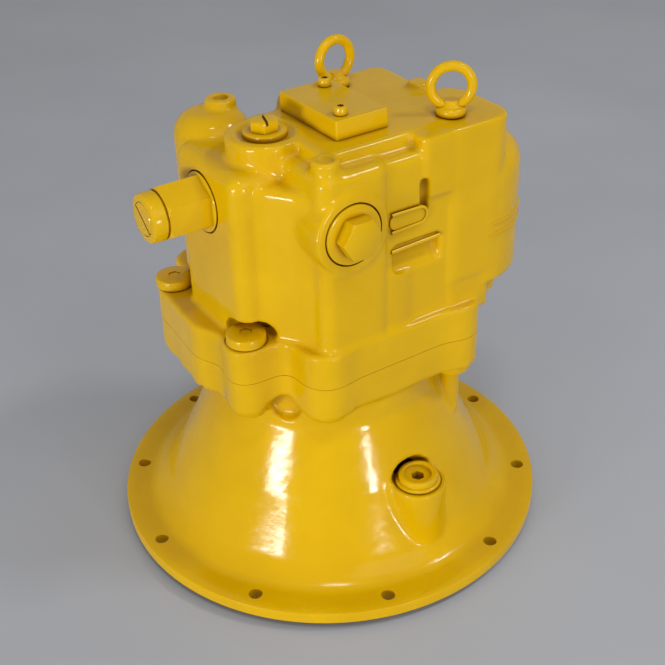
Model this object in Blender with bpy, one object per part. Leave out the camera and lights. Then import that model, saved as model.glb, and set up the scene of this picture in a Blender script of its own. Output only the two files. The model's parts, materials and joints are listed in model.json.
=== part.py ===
"""Axial piston swing motor: bell housing, valve casing, rotating group, brake and valves.

The origin is on the shaft's axis, level with the bottom of the pilot spigot, and +Z runs up the shaft.
Heights whose name ends in _Z are measured from there.
"""
import bpy
import bmesh
from math import cos, sin, tan, pi, radians, sqrt, atan2
from mathutils import Matrix, Vector

MM = 0.001
GAP = 0.3 * MM                      # between pieces that seat on each other

# Mounting flange and bell housing
FLANGE_R = 180 * MM
FLANGE_T = 10 * MM
FLANGE_HOLES = 10
FLANGE_HOLE_PCR = FLANGE_R - 13 * MM
FLANGE_HOLE_R = 5.5 * MM
SPIGOT_R = FLANGE_R - 30 * MM
SPIGOT_H = 6 * MM
CONE_FOOT_R = FLANGE_R - 34 * MM
CONE_FOOT_RISE = 2 * MM             # fillet between the flange and the cone
CONE_TOP_R = 100 * MM
CONE_H = 104 * MM                   # from its foot to its rounded shoulder
NECK_R = 96 * MM
BELL_MOUTH_R = CONE_FOOT_R - 8 * MM
BELL_CEILING_R = 98 * MM
CEILING_T = 16 * MM                 # between the bell's ceiling beside the hub and the case floor
HUB_R = 62 * MM
HUB_DROP = 38 * MM                  # the hub hangs this far below the ceiling
HEAD_T = 28 * MM                    # upper flange of the bell housing
HEAD_BASE_R = 97 * MM
SEAM_RISE = 68 * MM                 # joint face of the casings above the case floor
LOBE_FOOT = 10 * MM                 # bolt lobes run on below the upper flange

# Valve casing
CASING_FLANGE_T = 28 * MM
VALVE_BLOCK_T = 109.4 * MM          # from the port face to the top face
CASING_WALL_Y = -95 * MM
CASING_LEFT_X = -100 * MM
REAR_WALL_Y = 92 * MM
DRUM_R = 96 * MM
CHECK_DROP = 53 * MM                # axis of the check valves below the top face
RELIEF_DROP = 48 * MM               # axis of the relief valves below the top face
WALL_PAD_DROP = 57.5 * MM           # middle of the pad on the front wall below the top face
WALL_POCKET_DROP = 92 * MM          # middle of the pocket below it

# Case bores
CASE_BORE_R = 74 * MM
BRAKE_BORE_R = 82.5 * MM
BRAKE_LEDGE_DROP = 6 * MM           # ledge for the brake plates, below the joint face
CASE_FLOOR_H = 104 * MM             # above the mounting flange's underside

# Casing bolts, x and y
BOLT_PLACES = ((-95.5, -41), (-99, 67), (67, -83), (100, 8), (72, 82), (-14, 108))
UPTURNED_BOLT = 2                   # under the right block there is only room for its head below
BOLT_SHANK_R = 8 * MM
BOLT_HEAD_R = 15 * MM
BOLT_HEAD_H = 8 * MM
BOLT_SOCKET_R = 6 * MM
BOLT_GRIP = 24 * MM                 # thread length in the bell housing
LOBE_RADII = (21, 15.5, 20.5, 21, 21, 21)
SIDE_LOBES = ((-50, -78, 22), (-60, 92, 24), (30, 96, 24), (94, 48, 24))    # x, y and radius
FLAT_SIDES = (((-57, -97), (74, -97)), ((-119, -1), (-113, 66)), ((-119, -1), (-106, -27)))
SPOT_FACE_R = 23 * MM
SPOT_FACE_DEPTH = 0.6 * MM          # into the casing's flange

# Rotating group
TILT = radians(14)
PISTONS = 7
PITCH_R = 46 * MM                   # piston bores in the block
PISTON_R = 13 * MM
PISTON_LENGTH = 62 * MM             # from the ball's centre
BORE_CLEARANCE = 1.3 * MM
BALL_R = 8 * MM
SOCKET_CLEARANCE = 1.1 * MM
SLIPPER_R = 16 * MM
SLIPPER_BASE_T = 4.5 * MM
SLIPPER_BOSS_R = 11.5 * MM
BALL_HEIGHT = 12 * MM               # ball centre above the swash plate
SWASH_R = 70 * MM
SWASH_BORE_R = 34 * MM
SWASH_MID_T = 23 * MM               # thickness on the axis
RETAINER_T = 3.5 * MM
RETAINER_RIM = 5 * MM
GUIDE_R = 28 * MM
BLOCK_R = 68 * MM
BLOCK_RISE = 38 * MM                # above the middle of the swash plate
BLOCK_LENGTH = 67 * MM
BLOCK_TEETH = 14
BLOCK_TOOTH_H = 2 * MM
BLOCK_BORE_DEPTH = 53 * MM
SPRING_POCKET = 22 * MM
PORT_HOLE_R = 6 * MM
VALVE_PLATE_T = 3.7 * MM
VALVE_PLATE_R = 62 * MM

# Shaft
SHAFT_END_H = 5 * MM
OUTPUT_SPLINE_R = 20 * MM
OUTPUT_SPLINE_ROOT_R = 17.4 * MM
OUTPUT_SPLINE_LENGTH = 43 * MM
SPLINE_TEETH = 8
SEAL_JOURNAL_R = 22.5 * MM
BEARING_JOURNAL_R = 25 * MM
COLLAR_R = 29 * MM
BLOCK_SPLINE_R = 21 * MM
BLOCK_SPLINE_ROOT_R = 19 * MM
REAR_JOURNAL_R = 17.5 * MM

# Front bearing, rear bearing and seal
BEARING_DROP = 4 * MM               # top of its bore's seat for the bearing below the case floor
BEARING_T = 26 * MM
BEARING_INNER_RACE_T = 7.7 * MM
BEARING_RACE_T = 7.6 * MM
ROLLER_R = 4.4 * MM
ROLLERS = 10
NEEDLE_R = 3 * MM
NEEDLES = 10
REAR_BEARING_T = 20 * MM
REAR_RACE_T = 2.8 * MM
SEAL_R = 36 * MM
SEAL_T = 11 * MM
SEAL_LIP_R = 28 * MM
SEAL_SHELF_T = 6 * MM               # of the hub's end under the seal

# Parking brake
PLATE_T = 3 * MM
FRICTION_T = 3.5 * MM
SEPARATOR_INNER_R = 71.5 * MM
FRICTION_OUTER_R = 79.5 * MM
BRAKE_PISTON_INNER_R = 69.5 * MM
BRAKE_SPRING_T = 2.5 * MM
BRAKE_SPRING_RISE = 9.8 * MM

# Joint ring
O_RING_R = 89 * MM
O_RING_WIRE_R = 1.5 * MM

# Relief valve cartridges
RELIEF_Y = {-1: 2 * MM, 1: 18 * MM}   # left, right
RELIEF_THREAD_R = 13 * MM
RELIEF_THREAD_LENGTH = 38 * MM
RELIEF_COLLAR_R = 22.5 * MM
RELIEF_HEX_R = 21.5 * MM            # across corners
RELIEF_HEX_LENGTH = 35 * MM
RELIEF_CAP_R = 18.3 * MM
RELIEF_CAP_LENGTH = 11 * MM
RELIEF_BORE_R = 9 * MM
RELIEF_SEAT_R = 5 * MM
RELIEF_SCREW_R = 12.5 * MM
RELIEF_SCREW_STEM = 14 * MM

# Check valves
CHECK_X = 36 * MM
CHECK_BOSS_R = 30 * MM
CHECK_DISC_R = 22.5 * MM
CHECK_DISC_T = 4.5 * MM
CHECK_THREAD_R = 17 * MM
CHECK_THREAD_LENGTH = 26 * MM
CHECK_HEX_R = 16 * MM
CHECK_HEX_H = 11 * MM
CHECK_GUIDE_R = 11 * MM
CHECK_POPPET_R = 13 * MM
CHECK_SEAT_R = 9 * MM
CHECK_CHAMBER_DEPTH = 50 * MM
CHECK_TRAVEL = 4 * MM

# Ports, on the rear wall
PORT_X = 42 * MM
PORT_RISE = 8.4 * MM                # above the port face of the rotating group
PORT_R = 13.5 * MM
PORT_PAD_R = 23 * MM
PORT_FACE_Y = 112 * MM
PORT_DEPTH = 28 * MM

# Top of the valve casing
COVER_X = (-24.5 * MM, 19.5 * MM)
COVER_Y = (-61 * MM, 13 * MM)
COVER_T = 14 * MM
COVER_SCREWS = ((-14, -51), (8, 2))
SCREW_HEAD_R = 4.8 * MM
SCREW_HEAD_H = 6 * MM
SCREW_SHANK_R = 2.8 * MM
TOP_PLUG_XY = (-55.5 * MM, -17 * MM)
TOP_PLUG_COLLAR_R = 16 * MM
TOP_PLUG_HEX_R = 11 * MM
TOP_PLUG_THREAD_R = 10 * MM
TOP_SPOT_R = 22 * MM
COLUMN_BOSS = (-48, -82)
LOBE_BOSS = (-51, 55)
EYE_RIGHT_XY = (69 * MM, -69 * MM)
EYE_REAR_XY = (36 * MM, 30 * MM)
EYE_RING_R = 14.75 * MM
EYE_WIRE_R = 3.75 * MM
EYE_COLLAR_R = 11 * MM
EYE_COLLAR_H = 6 * MM
EYE_SHANK_R = 4 * MM
EYE_SHANK_LENGTH = 14 * MM

# Drain boss and plug, on the cone
DRAIN_X = 5 * MM
DRAIN_STAND = 2.2 * MM              # its axis outside the cone at the boss's top
DRAIN_H = 73.5 * MM
DRAIN_BOSS_R = 22.5 * MM
DRAIN_SPOT_R = 16.5 * MM
DRAIN_THREAD_R = 9 * MM

# Heights and places that follow from the sizes above
FLANGE_Z = SPIGOT_H
CONE_Z = FLANGE_Z + FLANGE_T + CONE_FOOT_RISE
FLOOR_Z = FLANGE_Z + CASE_FLOOR_H
SEAM_Z = FLOOR_Z + SEAM_RISE
CASING_Z = SEAM_Z + GAP
CASING_FLANGE_Z = CASING_Z + CASING_FLANGE_T
CEILING_Z = FLOOR_Z - CEILING_T
HUB_Z = CEILING_Z - HUB_DROP
BEARING_Z = FLOOR_Z - BEARING_DROP - BEARING_T
SWASH_Z = FLOOR_Z + GAP + SWASH_MID_T
BALL_Z = SWASH_Z + (BALL_HEIGHT + GAP) / cos(TILT)
BLOCK_Z = SWASH_Z + BLOCK_RISE
BLOCK_TOP_Z = BLOCK_Z + BLOCK_LENGTH
VALVE_PLATE_Z = BLOCK_TOP_Z + GAP
PORT_FACE_Z = VALVE_PLATE_Z + VALVE_PLATE_T + GAP
TOP_Z = PORT_FACE_Z + VALVE_BLOCK_T
CHECK_Z = TOP_Z - CHECK_DROP
RELIEF_Z = TOP_Z - RELIEF_DROP
PORT_Z = PORT_FACE_Z + PORT_RISE
BEARING_OUTER_R = BEARING_JOURNAL_R + BEARING_INNER_RACE_T + 2 * ROLLER_R + BEARING_RACE_T + 3 * GAP
REAR_BEARING_Z = PORT_FACE_Z + 3 * MM
REAR_OUTER_R = REAR_JOURNAL_R + 2 * NEEDLE_R + 4 * GAP + REAR_RACE_T
LEDGE_Z = SEAM_Z - BRAKE_LEDGE_DROP
BRAKE_STACK_Z = LEDGE_Z + GAP + 2 * (PLATE_T + GAP) + FRICTION_T
CONE_R_AT_DRAIN = CONE_FOOT_R - (CONE_FOOT_R - CONE_TOP_R) * (FLANGE_Z + DRAIN_H - CONE_Z) / CONE_H
DRAIN_XY = (DRAIN_X, -CONE_R_AT_DRAIN - DRAIN_STAND)
RING_R = 2 * PITCH_R / (1 + cos(TILT))      # circle of the ball centres, in the swash plate's plane

YELLOW = ("yellow_paint", (0.62, 0.38, 0.012), 0.22, 0.0)
STEEL = ("machined_steel", (0.55, 0.55, 0.56), 0.3, 1.0)
DARK_STEEL = ("dark_steel", (0.22, 0.22, 0.23), 0.4, 1.0)
BRONZE = ("bronze", (0.6, 0.42, 0.2), 0.35, 1.0)
RUBBER = ("rubber", (0.03, 0.03, 0.03), 0.7, 0.0)
FRICTION = ("friction_lining", (0.2, 0.13, 0.08), 0.8, 0.0)

ROUND_SIDES = 18                    # of an ordinary round piece
RING_SIDES = 28                     # of the rings inside the case
WIDE_SIDES = 36                     # of the housings and of what fits their main bore


# Meshes

def lathe(profile, steps=ROUND_SIDES, closed=True):
    """Turned piece: profile points are (radius, height)."""
    bm = bmesh.new()
    verts = [bm.verts.new((r, 0, z)) for r, z in profile]
    edges = [bm.edges.new(pair) for pair in zip(verts, verts[1:])]
    if closed:
        edges.append(bm.edges.new((verts[-1], verts[0])))
    bmesh.ops.spin(bm, geom=verts + edges, cent=(0, 0, 0), axis=(0, 0, 1),
                   angle=2 * pi, steps=steps, use_merge=True)
    bmesh.ops.remove_doubles(bm, verts=bm.verts, dist=1e-7)
    bmesh.ops.recalc_face_normals(bm, faces=bm.faces)
    return bm


def solid_of_revolution(profile, steps=ROUND_SIDES):
    """Turned piece without a bore: the profile starts and ends on the axis."""
    return lathe([(0, profile[0][1])] + list(profile) + [(0, profile[-1][1])], steps, closed=False)


def prism(outline, z0, z1, crown=0.0, segments=1):
    """Extruded outline, its top edge rounded by crown."""
    bm = bmesh.new()
    face = bm.faces.new([bm.verts.new((x, y, z0)) for x, y in outline])
    grown = bmesh.ops.extrude_face_region(bm, geom=[face])
    top = [v for v in grown["geom"] if isinstance(v, bmesh.types.BMVert)]
    bmesh.ops.translate(bm, verts=top, vec=(0, 0, z1 - z0))
    bmesh.ops.recalc_face_normals(bm, faces=bm.faces)
    if crown > 0:
        rim = [e for e in bm.edges if all(v in top for v in e.verts)]
        bmesh.ops.bevel(bm, geom=rim, offset=crown, segments=segments, profile=0.5, affect="EDGES",
                        clamp_overlap=True)
    return bm


def circle(radius, steps=ROUND_SIDES, centre=(0, 0), start=0.0):
    return [(centre[0] + radius * cos(start + 2 * pi * i / steps),
             centre[1] + radius * sin(start + 2 * pi * i / steps)) for i in range(steps)]


def rounded_rectangle(x0, x1, y0, y1, radius, steps=4):
    """Outline of a rectangle with round corners, anticlockwise."""
    points = []
    corners = ((x1 - radius, y0 + radius, -pi / 2), (x1 - radius, y1 - radius, 0),
               (x0 + radius, y1 - radius, pi / 2), (x0 + radius, y0 + radius, pi))
    for cx, cy, start in corners:
        for i in range(steps + 1):
            angle = start + pi / 2 * i / steps
            points.append((cx + radius * cos(angle), cy + radius * sin(angle)))
    return points


def toothed(root, tip, teeth, tip_share):
    """Outline of a straight-sided spline; tip_share is the tip's part of the pitch."""
    points = []
    ramp = 0.06
    for tooth in range(teeth):
        for share, radius in ((-tip_share / 2 - ramp, root), (-tip_share / 2, tip),
                              (tip_share / 2, tip), (tip_share / 2 + ramp, root)):
            angle = 2 * pi * (tooth + share) / teeth
            points.append((radius * cos(angle), radius * sin(angle)))
    return points


def stack(sections):
    """Solid through outlines of equal point counts, each given with its height."""
    bm = bmesh.new()
    rings = [[bm.verts.new((x, y, z)) for x, y in outline] for z, outline in sections]
    for low, high in zip(rings, rings[1:]):
        for i in range(len(low)):
            j = (i + 1) % len(low)
            bm.faces.new((low[i], low[j], high[j], high[i]))
    bm.faces.new(rings[0])
    bm.faces.new(rings[-1])
    bmesh.ops.recalc_face_normals(bm, faces=bm.faces)
    return bm


def bar(radius, a, b, steps=ROUND_SIDES):
    """Round bar between two points."""
    a, b = Vector(a), Vector(b)
    bm = prism(circle(radius, steps, start=pi / steps), 0, (b - a).length)
    turn = (b - a).to_track_quat("Z", "Y").to_matrix().to_4x4()
    bmesh.ops.transform(bm, matrix=Matrix.Translation(a) @ turn, verts=bm.verts)
    return bm


def torus(ring_r, wire_r, steps, sides, centre_z=0.0):
    profile = [(ring_r + x, centre_z + z) for x, z in circle(wire_r, sides)]
    return lathe(profile, steps)


def coil(mean_r, wire_r, z0, z1, turns, steps=12, sides=4):
    """Round-wire spring with its end turns cut square by two closing caps."""
    bm = bmesh.new()
    rings = []
    count = int(turns * steps) + 1
    for i in range(count):
        angle = 2 * pi * i / steps
        height = z0 + wire_r + (z1 - z0 - 2 * wire_r) * i / (count - 1)
        out = Vector((cos(angle), sin(angle), 0))
        centre = out * mean_r + Vector((0, 0, height))
        rings.append([bm.verts.new(centre + out * x + Vector((0, 0, z))) for x, z in circle(wire_r, sides)])
    for low, high in zip(rings, rings[1:]):
        for i in range(sides):
            j = (i + 1) % sides
            bm.faces.new((low[i], low[j], high[j], high[i]))
    bm.faces.new(rings[0])
    bm.faces.new(rings[-1])
    bmesh.ops.recalc_face_normals(bm, faces=bm.faces)
    return bm


def moved(bm, x=0.0, y=0.0, z=0.0):
    bmesh.ops.translate(bm, verts=bm.verts, vec=(x, y, z))
    return bm


def turned(bm, matrix):
    bmesh.ops.transform(bm, matrix=matrix, verts=bm.verts)
    return bm


def loose_object(bm):
    mesh = bpy.data.meshes.new("tool")
    bm.to_mesh(mesh)
    bm.free()
    piece = bpy.data.objects.new("tool", mesh)
    bpy.context.scene.collection.objects.link(piece)
    return piece


def boolean(base, tools, operation):
    """The base mesh joined with the tools, or cut by them."""
    holder = loose_object(base)
    helpers = [loose_object(tool) for tool in tools]
    for helper in helpers:
        modifier = holder.modifiers.new("boolean", "BOOLEAN")
        modifier.object = helper
        modifier.operation = operation
        modifier.solver = "EXACT"
    bpy.context.view_layer.update()
    graph = bpy.context.evaluated_depsgraph_get()
    result = bpy.data.meshes.new_from_object(holder.evaluated_get(graph))
    bm = bmesh.new()
    bm.from_mesh(result)
    for piece in [holder] + helpers:
        mesh = piece.data
        bpy.data.objects.remove(piece)
        bpy.data.meshes.remove(mesh)
    bpy.data.meshes.remove(result)
    bmesh.ops.remove_doubles(bm, verts=bm.verts, dist=0.002 * MM)
    bmesh.ops.dissolve_degenerate(bm, edges=bm.edges, dist=0.002 * MM)
    bmesh.ops.dissolve_limit(bm, angle_limit=radians(0.3), verts=bm.verts, edges=bm.edges)
    loose = [edge for edge in bm.edges if not edge.link_faces]
    bmesh.ops.delete(bm, geom=loose, context="EDGES")
    return bm


def join(base, *tools):
    return boolean(base, tools, "UNION")


def cut(base, *tools):
    return boolean(base, tools, "DIFFERENCE")


def material(look):
    name, colour, roughness, metallic = look
    if name in bpy.data.materials:
        return bpy.data.materials[name]
    made = bpy.data.materials.new(name)
    made.use_nodes = True
    shader = made.node_tree.nodes["Principled BSDF"]
    shader.inputs["Base Color"].default_value = (*colour, 1)
    shader.inputs["Roughness"].default_value = roughness
    shader.inputs["Metallic"].default_value = metallic
    return made


def add(name, bm, look, place=None):
    """Named object of the mesh, standing at place."""
    mesh = bpy.data.meshes.new(name)
    bm.to_mesh(mesh)
    bm.free()
    mesh.materials.append(material(look))
    mesh.shade_smooth()
    mesh.set_sharp_from_angle(angle=radians(35))
    piece = bpy.data.objects.new(name, mesh)
    if place is not None:
        piece.matrix_world = place
    bpy.context.scene.collection.objects.link(piece)
    return piece


def at(x=0.0, y=0.0, z=0.0):
    return Matrix.Translation((x, y, z))


# Housings

def lobed_outline(steps=80):
    """Outline that both casings share at their joint: a circle, bolt lobes and flat sides."""
    lobes = [(x * MM, y * MM, lobe_r * MM) for (x, y), lobe_r in zip(BOLT_PLACES, LOBE_RADII)]
    lobes += [(x * MM, y * MM, lobe_r * MM) for x, y, lobe_r in SIDE_LOBES]
    points = []
    for i in range(steps):
        angle = 2 * pi * i / steps
        out = Vector((cos(angle), sin(angle)))
        radius = HEAD_BASE_R
        for x, y, lobe_r in lobes:
            along = x * out.x + y * out.y
            aside = abs(x * out.y - y * out.x)
            if along > 0 and aside < lobe_r:
                radius = max(radius, along + sqrt(lobe_r ** 2 - aside ** 2))
        for start, end in FLAT_SIDES:
            start, end = Vector(start) * MM, Vector(end) * MM
            slant = out.cross(end - start)
            ahead = start.cross(end - start) / slant if slant else 0
            if ahead > 0 and (ahead * out - start).dot(ahead * out - end) < 0:
                radius = max(radius, ahead)
        points.append((radius * out.x, radius * out.y))
    return points


def bell_profile():
    """Half section of the bell housing's outside, below its lobed upper flange."""
    top = FLANGE_Z + FLANGE_T
    shoulder = CONE_Z + CONE_H
    return [(SPIGOT_R, 0), (SPIGOT_R, FLANGE_Z), (FLANGE_R, FLANGE_Z), (FLANGE_R, top - 1.5 * MM),
            (FLANGE_R - 1.5 * MM, top), (CONE_FOOT_R + 4 * MM, top), (CONE_FOOT_R, CONE_Z + 1.5 * MM),
            (CONE_TOP_R, shoulder), (NECK_R, shoulder + 7 * MM), (NECK_R, SEAM_Z - 2 * MM)]


def bell_cavity():
    """Cutter of the open bell round its hanging hub."""
    return solid_of_revolution([
        (BELL_MOUTH_R, -MM), (BELL_MOUTH_R, 0), (BELL_CEILING_R, CEILING_Z), (HUB_R, CEILING_Z),
        (HUB_R, HUB_Z + 8 * MM), (HUB_R - 6 * MM, HUB_Z)], WIDE_SIDES)


def bell_bores():
    """Cutter of the seal, bearing, case and brake bores."""
    return solid_of_revolution([
        (SEAL_LIP_R, HUB_Z - MM), (SEAL_LIP_R, HUB_Z + SEAL_SHELF_T), (SEAL_R + GAP, HUB_Z + SEAL_SHELF_T),
        (SEAL_R + GAP, BEARING_Z), (BEARING_OUTER_R + GAP, BEARING_Z), (BEARING_OUTER_R + GAP, FLOOR_Z),
        (CASE_BORE_R, FLOOR_Z), (CASE_BORE_R, LEDGE_Z), (BRAKE_BORE_R, LEDGE_Z), (BRAKE_BORE_R, SEAM_Z + MM)],
        WIDE_SIDES)


def bell_housing():
    body = solid_of_revolution(bell_profile(), WIDE_SIDES)
    head = prism(lobed_outline(), SEAM_Z - HEAD_T, SEAM_Z)
    top = FLANGE_Z + DRAIN_H
    boss = prism(circle(DRAIN_BOSS_R, ROUND_SIDES, DRAIN_XY), FLANGE_Z + 4 * MM, top, crown=1.5 * MM)
    body = join(body, head, *bolt_lobes(), boss)
    holes = [upright(x, y, FLANGE_HOLE_R, FLANGE_Z - 2 * MM, FLANGE_Z + FLANGE_T + 2 * MM, 10)
             for x, y in circle(FLANGE_HOLE_PCR, FLANGE_HOLES)]
    for number, (x, y) in enumerate(BOLT_PLACES):
        bottom = SEAM_Z - BOLT_GRIP - 2 * MM
        if number == UPTURNED_BOLT:
            seat = SEAM_Z - HEAD_T
            bottom = seat - 2 * MM
            holes.append(upright(x * MM, y * MM, BOLT_HEAD_R + MM, seat - BOLT_HEAD_H - 4 * MM, seat, 16))
        holes.append(upright(x * MM, y * MM, BOLT_SHANK_R + 3 * GAP, bottom, SEAM_Z + 2 * MM, 8))
    holes.append(upright(*DRAIN_XY, DRAIN_SPOT_R, top - 2 * MM, top + 26 * MM, 16))
    holes.append(upright(*DRAIN_XY, DRAIN_THREAD_R + 2 * GAP, top - 24 * MM, top, 10))
    return add("bell_housing", cut(body, bell_cavity(), bell_bores(), o_ring_groove(), *holes), YELLOW)


def bolt_lobes():
    """Feet under the bolt lobes of the upper flange; the upturned bolt has none."""
    low = SEAM_Z - HEAD_T - LOBE_FOOT
    return [prism(circle((lobe_r - 1) * MM, 12, (x * MM, y * MM)), low, SEAM_Z - 4 * MM)
            for number, ((x, y), lobe_r) in enumerate(zip(BOLT_PLACES, LOBE_RADII))
            if number != UPTURNED_BOLT]


def o_ring_groove():
    depth = 2 * O_RING_WIRE_R
    inner, outer = O_RING_R - O_RING_WIRE_R - GAP, O_RING_R + O_RING_WIRE_R + GAP
    return lathe([(inner, SEAM_Z - depth), (outer, SEAM_Z - depth), (outer, SEAM_Z + MM), (inner, SEAM_Z + MM)],
                 RING_SIDES)


def block_lump(x0, x1, y0, y1, z0, z1, radius, crown):
    """Rounded lump of the casting; sizes in millimetres, heights above the mounting flange's underside."""
    outline = rounded_rectangle(x0 * MM, x1 * MM, y0 * MM, y1 * MM, radius * MM)
    return prism(outline, FLANGE_Z + z0 * MM, FLANGE_Z + z1 * MM, crown * MM)


def post_lump(x, y, radius, z0, z1, crown, steps=18, segments=1):
    """Upright round lump of the casting, in the same terms."""
    outline = circle(radius * MM, steps, (x * MM, y * MM))
    return prism(outline, FLANGE_Z + z0 * MM, FLANGE_Z + z1 * MM, crown * MM, segments)


def casing_lumps():
    """The forms that the valve casing is cast from; heights run from its flange or its top face."""
    top = (TOP_Z - FLANGE_Z) / MM
    low = (CASING_FLANGE_Z - FLANGE_Z) / MM
    drum_top = (PORT_FACE_Z - FLANGE_Z) / MM + 17.4
    left, front, rear = CASING_LEFT_X / MM, CASING_WALL_Y / MM, REAR_WALL_Y / MM
    plug_x, plug_y = TOP_PLUG_XY[0] / MM, TOP_PLUG_XY[1] / MM
    return [
        post_lump(0, 0, DRUM_R / MM, low - 6.3, drum_top, 8, WIDE_SIDES),
        # Left block, with the boss of the top plug
        block_lump(left, -30, -46, 44, low - 7.3, top - 16, 12, 10),
        post_lump(plug_x, plug_y, 28.5, low - 8.3, top + 1, 4, 20),
        # Column of the front check valve, the wall beside it and its small boss
        block_lump(-60, -2, front, -10, low - 9.3, top - 9, 10, 6),
        corner_wall(low - 7.8, top - 24),
        post_lump(*COLUMN_BOSS, 10, top - 26, top + 1.5, 2, 12),
        # Front wall and top plateau
        block_lump(-20, 60, front + 4, -11, low - 10.3, top - 11, 6, 5),
        block_lump(-46, 91, -78, 16, low + 29.7, top, 10, 4),
        block_lump(10, 92, 5, 50, low + 28.7, top - 0.3, 10, 4),
        # Right block: its upper left end, its body, its round side and the step under it
        block_lump(27, 70, front + 1.6, -40, top - 47, top - 0.8, 5, 1.5),
        block_lump(43, 111, front + 1, -20, low + 21.7, top - 0.5, 18, 1.5),
        post_lump(95, -42, 53, low + 9.7, top - 28, 22, 20, 3),
        block_lump(48, 98, front + 2.5, 2, low - 11.3, low + 25.7, 10, 4),
        post_lump(113, -47, 21, low - 19.3, low + 27.7, 0),
        # Small boss behind the right eye
        post_lump(84, -12, 9, top - 8, top + 5, 1.5, 12),
        # Rear mass, left and right, the rear lobe and the wall of the right relief valve
        block_lump(-58, 60, -20, rear - 1, low + 31.7, top - 31, 16, 10),
        block_lump(13, 94, -18, rear, low + 30.7, top - 15.5, 14, 12),
        post_lump(-61, 53, 29, low - 13.3, top - 3, 18, 18, 3),
        post_lump(*LOBE_BOSS, 12, top - 25, top + 3.5, 2, 12),
        block_lump(61, 100, -21, 60, low + 35.7, top - 22, 12, 8),
    ]


def corner_wall(z0, z1):
    """Slanting wall that closes the valley between the left block and the front column."""
    outline = [(-92, -40), (-78, -52), (-66, -68), (-59, -84), (-30, -84), (-30, -40)]
    return prism([(x * MM, y * MM) for x, y in outline], FLANGE_Z + z0 * MM, FLANGE_Z + z1 * MM, 8 * MM)


def port_pad(x):
    return bar(PORT_PAD_R, (x, PORT_FACE_Y - 50 * MM, PORT_Z), (x, PORT_FACE_Y, PORT_Z), 20)


def along_y(x, y0, y1, radius, steps=ROUND_SIDES):
    return bar(radius, (x, y0, CHECK_Z), (x, y1, CHECK_Z), steps)


def along_x(y, x0, x1, radius, steps=ROUND_SIDES):
    return bar(radius, (x0, y, RELIEF_Z), (x1, y, RELIEF_Z), steps)


def upright(x, y, radius, z0, z1, steps=20):
    return bar(radius, (x, y, z0), (x, y, z1), steps)


def relief_bore(side):
    """Cutters for one relief valve; side is -1 at the left and 1 at the right."""
    wall = -CASING_LEFT_X
    reach = wall - RELIEF_THREAD_LENGTH - 2 * MM
    y = RELIEF_Y[side]
    return [along_x(y, side * (wall - MM), side * (wall + 50 * MM), RELIEF_COLLAR_R + 2 * GAP, 20),
            along_x(y, side * reach, side * wall, RELIEF_THREAD_R + 2 * GAP),
            along_x(y, side * (reach - 14 * MM), side * (reach + MM), RELIEF_SEAT_R, 12)]


def check_bore(side):
    """Cutters for one check valve; side is -1 at the front and 1 at the rear."""
    wall = -CASING_WALL_Y if side < 0 else REAR_WALL_Y
    x = side * CHECK_X
    deep = wall - CHECK_CHAMBER_DEPTH
    return [along_y(x, side * (wall - 1.5 * MM), side * (wall + 20 * MM), CHECK_DISC_R + 2 * GAP),
            along_y(x, side * (wall - CHECK_THREAD_LENGTH - MM), side * wall, CHECK_THREAD_R + GAP),
            along_y(x, side * deep, side * (wall - CHECK_THREAD_LENGTH), CHECK_POPPET_R + 1.5 * MM, 16),
            along_y(x, side * (deep - 12 * MM), side * (deep + MM), CHECK_SEAT_R, 12)]


def valve_casing():
    flange = prism(lobed_outline(), CASING_Z, CASING_FLANGE_Z, crown=2 * MM)
    check_boss = along_y(-CHECK_X, CASING_WALL_Y - 2 * MM, CASING_WALL_Y + 40 * MM, CHECK_BOSS_R, 24)
    body = join(flange, *casing_lumps(), port_pad(-PORT_X), port_pad(PORT_X), d_pad(), check_boss)
    bearing_end = REAR_BEARING_Z + REAR_BEARING_T + 4 * MM
    cutters = [solid_of_revolution([(BRAKE_BORE_R, CASING_Z - MM), (BRAKE_BORE_R, PORT_FACE_Z)], WIDE_SIDES),
               upright(0, 0, REAR_OUTER_R + GAP, PORT_FACE_Z - MM, bearing_end, RING_SIDES)]
    for number, (x, y) in enumerate(BOLT_PLACES):
        top = CASING_FLANGE_Z + MM
        if number == UPTURNED_BOLT:
            top = CASING_Z + BOLT_GRIP + MM
        else:
            cutters.append(spot_face(x * MM, y * MM))
        cutters.append(upright(x * MM, y * MM, BOLT_SHANK_R + 3 * GAP, CASING_Z - MM, top, 8))
    for x, y in COVER_SCREWS:
        cutters.append(upright(x * MM, y * MM, SCREW_SHANK_R + GAP, TOP_Z - 14 * MM, TOP_Z + MM, 12))
    for x, y in (EYE_RIGHT_XY, EYE_REAR_XY):
        cutters.append(upright(x, y, EYE_SHANK_R + GAP, TOP_Z - EYE_SHANK_LENGTH - 2 * MM, TOP_Z + MM, 12))
    x, y = TOP_PLUG_XY
    cutters.append(upright(x, y, TOP_SPOT_R, TOP_Z - 1.5 * MM, TOP_Z + 4 * MM, ROUND_SIDES))
    cutters.append(upright(x, y, TOP_PLUG_THREAD_R + GAP, TOP_Z - 20 * MM, TOP_Z, 20))
    for x, y in (LOBE_BOSS, COLUMN_BOSS):
        cutters.append(upright(x * MM, y * MM, 6 * MM, TOP_Z - 2 * MM, TOP_Z + 6 * MM, 12))
    for side in (-1, 1):
        cutters += relief_bore(side) + check_bore(side)
        cutters.append(bar(PORT_R, (side * PORT_X, PORT_FACE_Y - PORT_DEPTH, PORT_Z),
                           (side * PORT_X, PORT_FACE_Y + 2 * MM, PORT_Z), 16))
    cutters.append(front_pocket())
    return add("valve_casing", cut(body, *cutters), YELLOW)


def spot_face(x, y):
    """Round recess over a bolt, open to the side and narrowing upwards where it runs into a wall."""
    low = CASING_FLANGE_Z - SPOT_FACE_DEPTH
    recess = solid_of_revolution([(SPOT_FACE_R, low), (SPOT_FACE_R, low + 10 * MM),
                                  (SPOT_FACE_R * 0.7, low + 17 * MM)], 18)
    return moved(recess, x, y)


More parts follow.
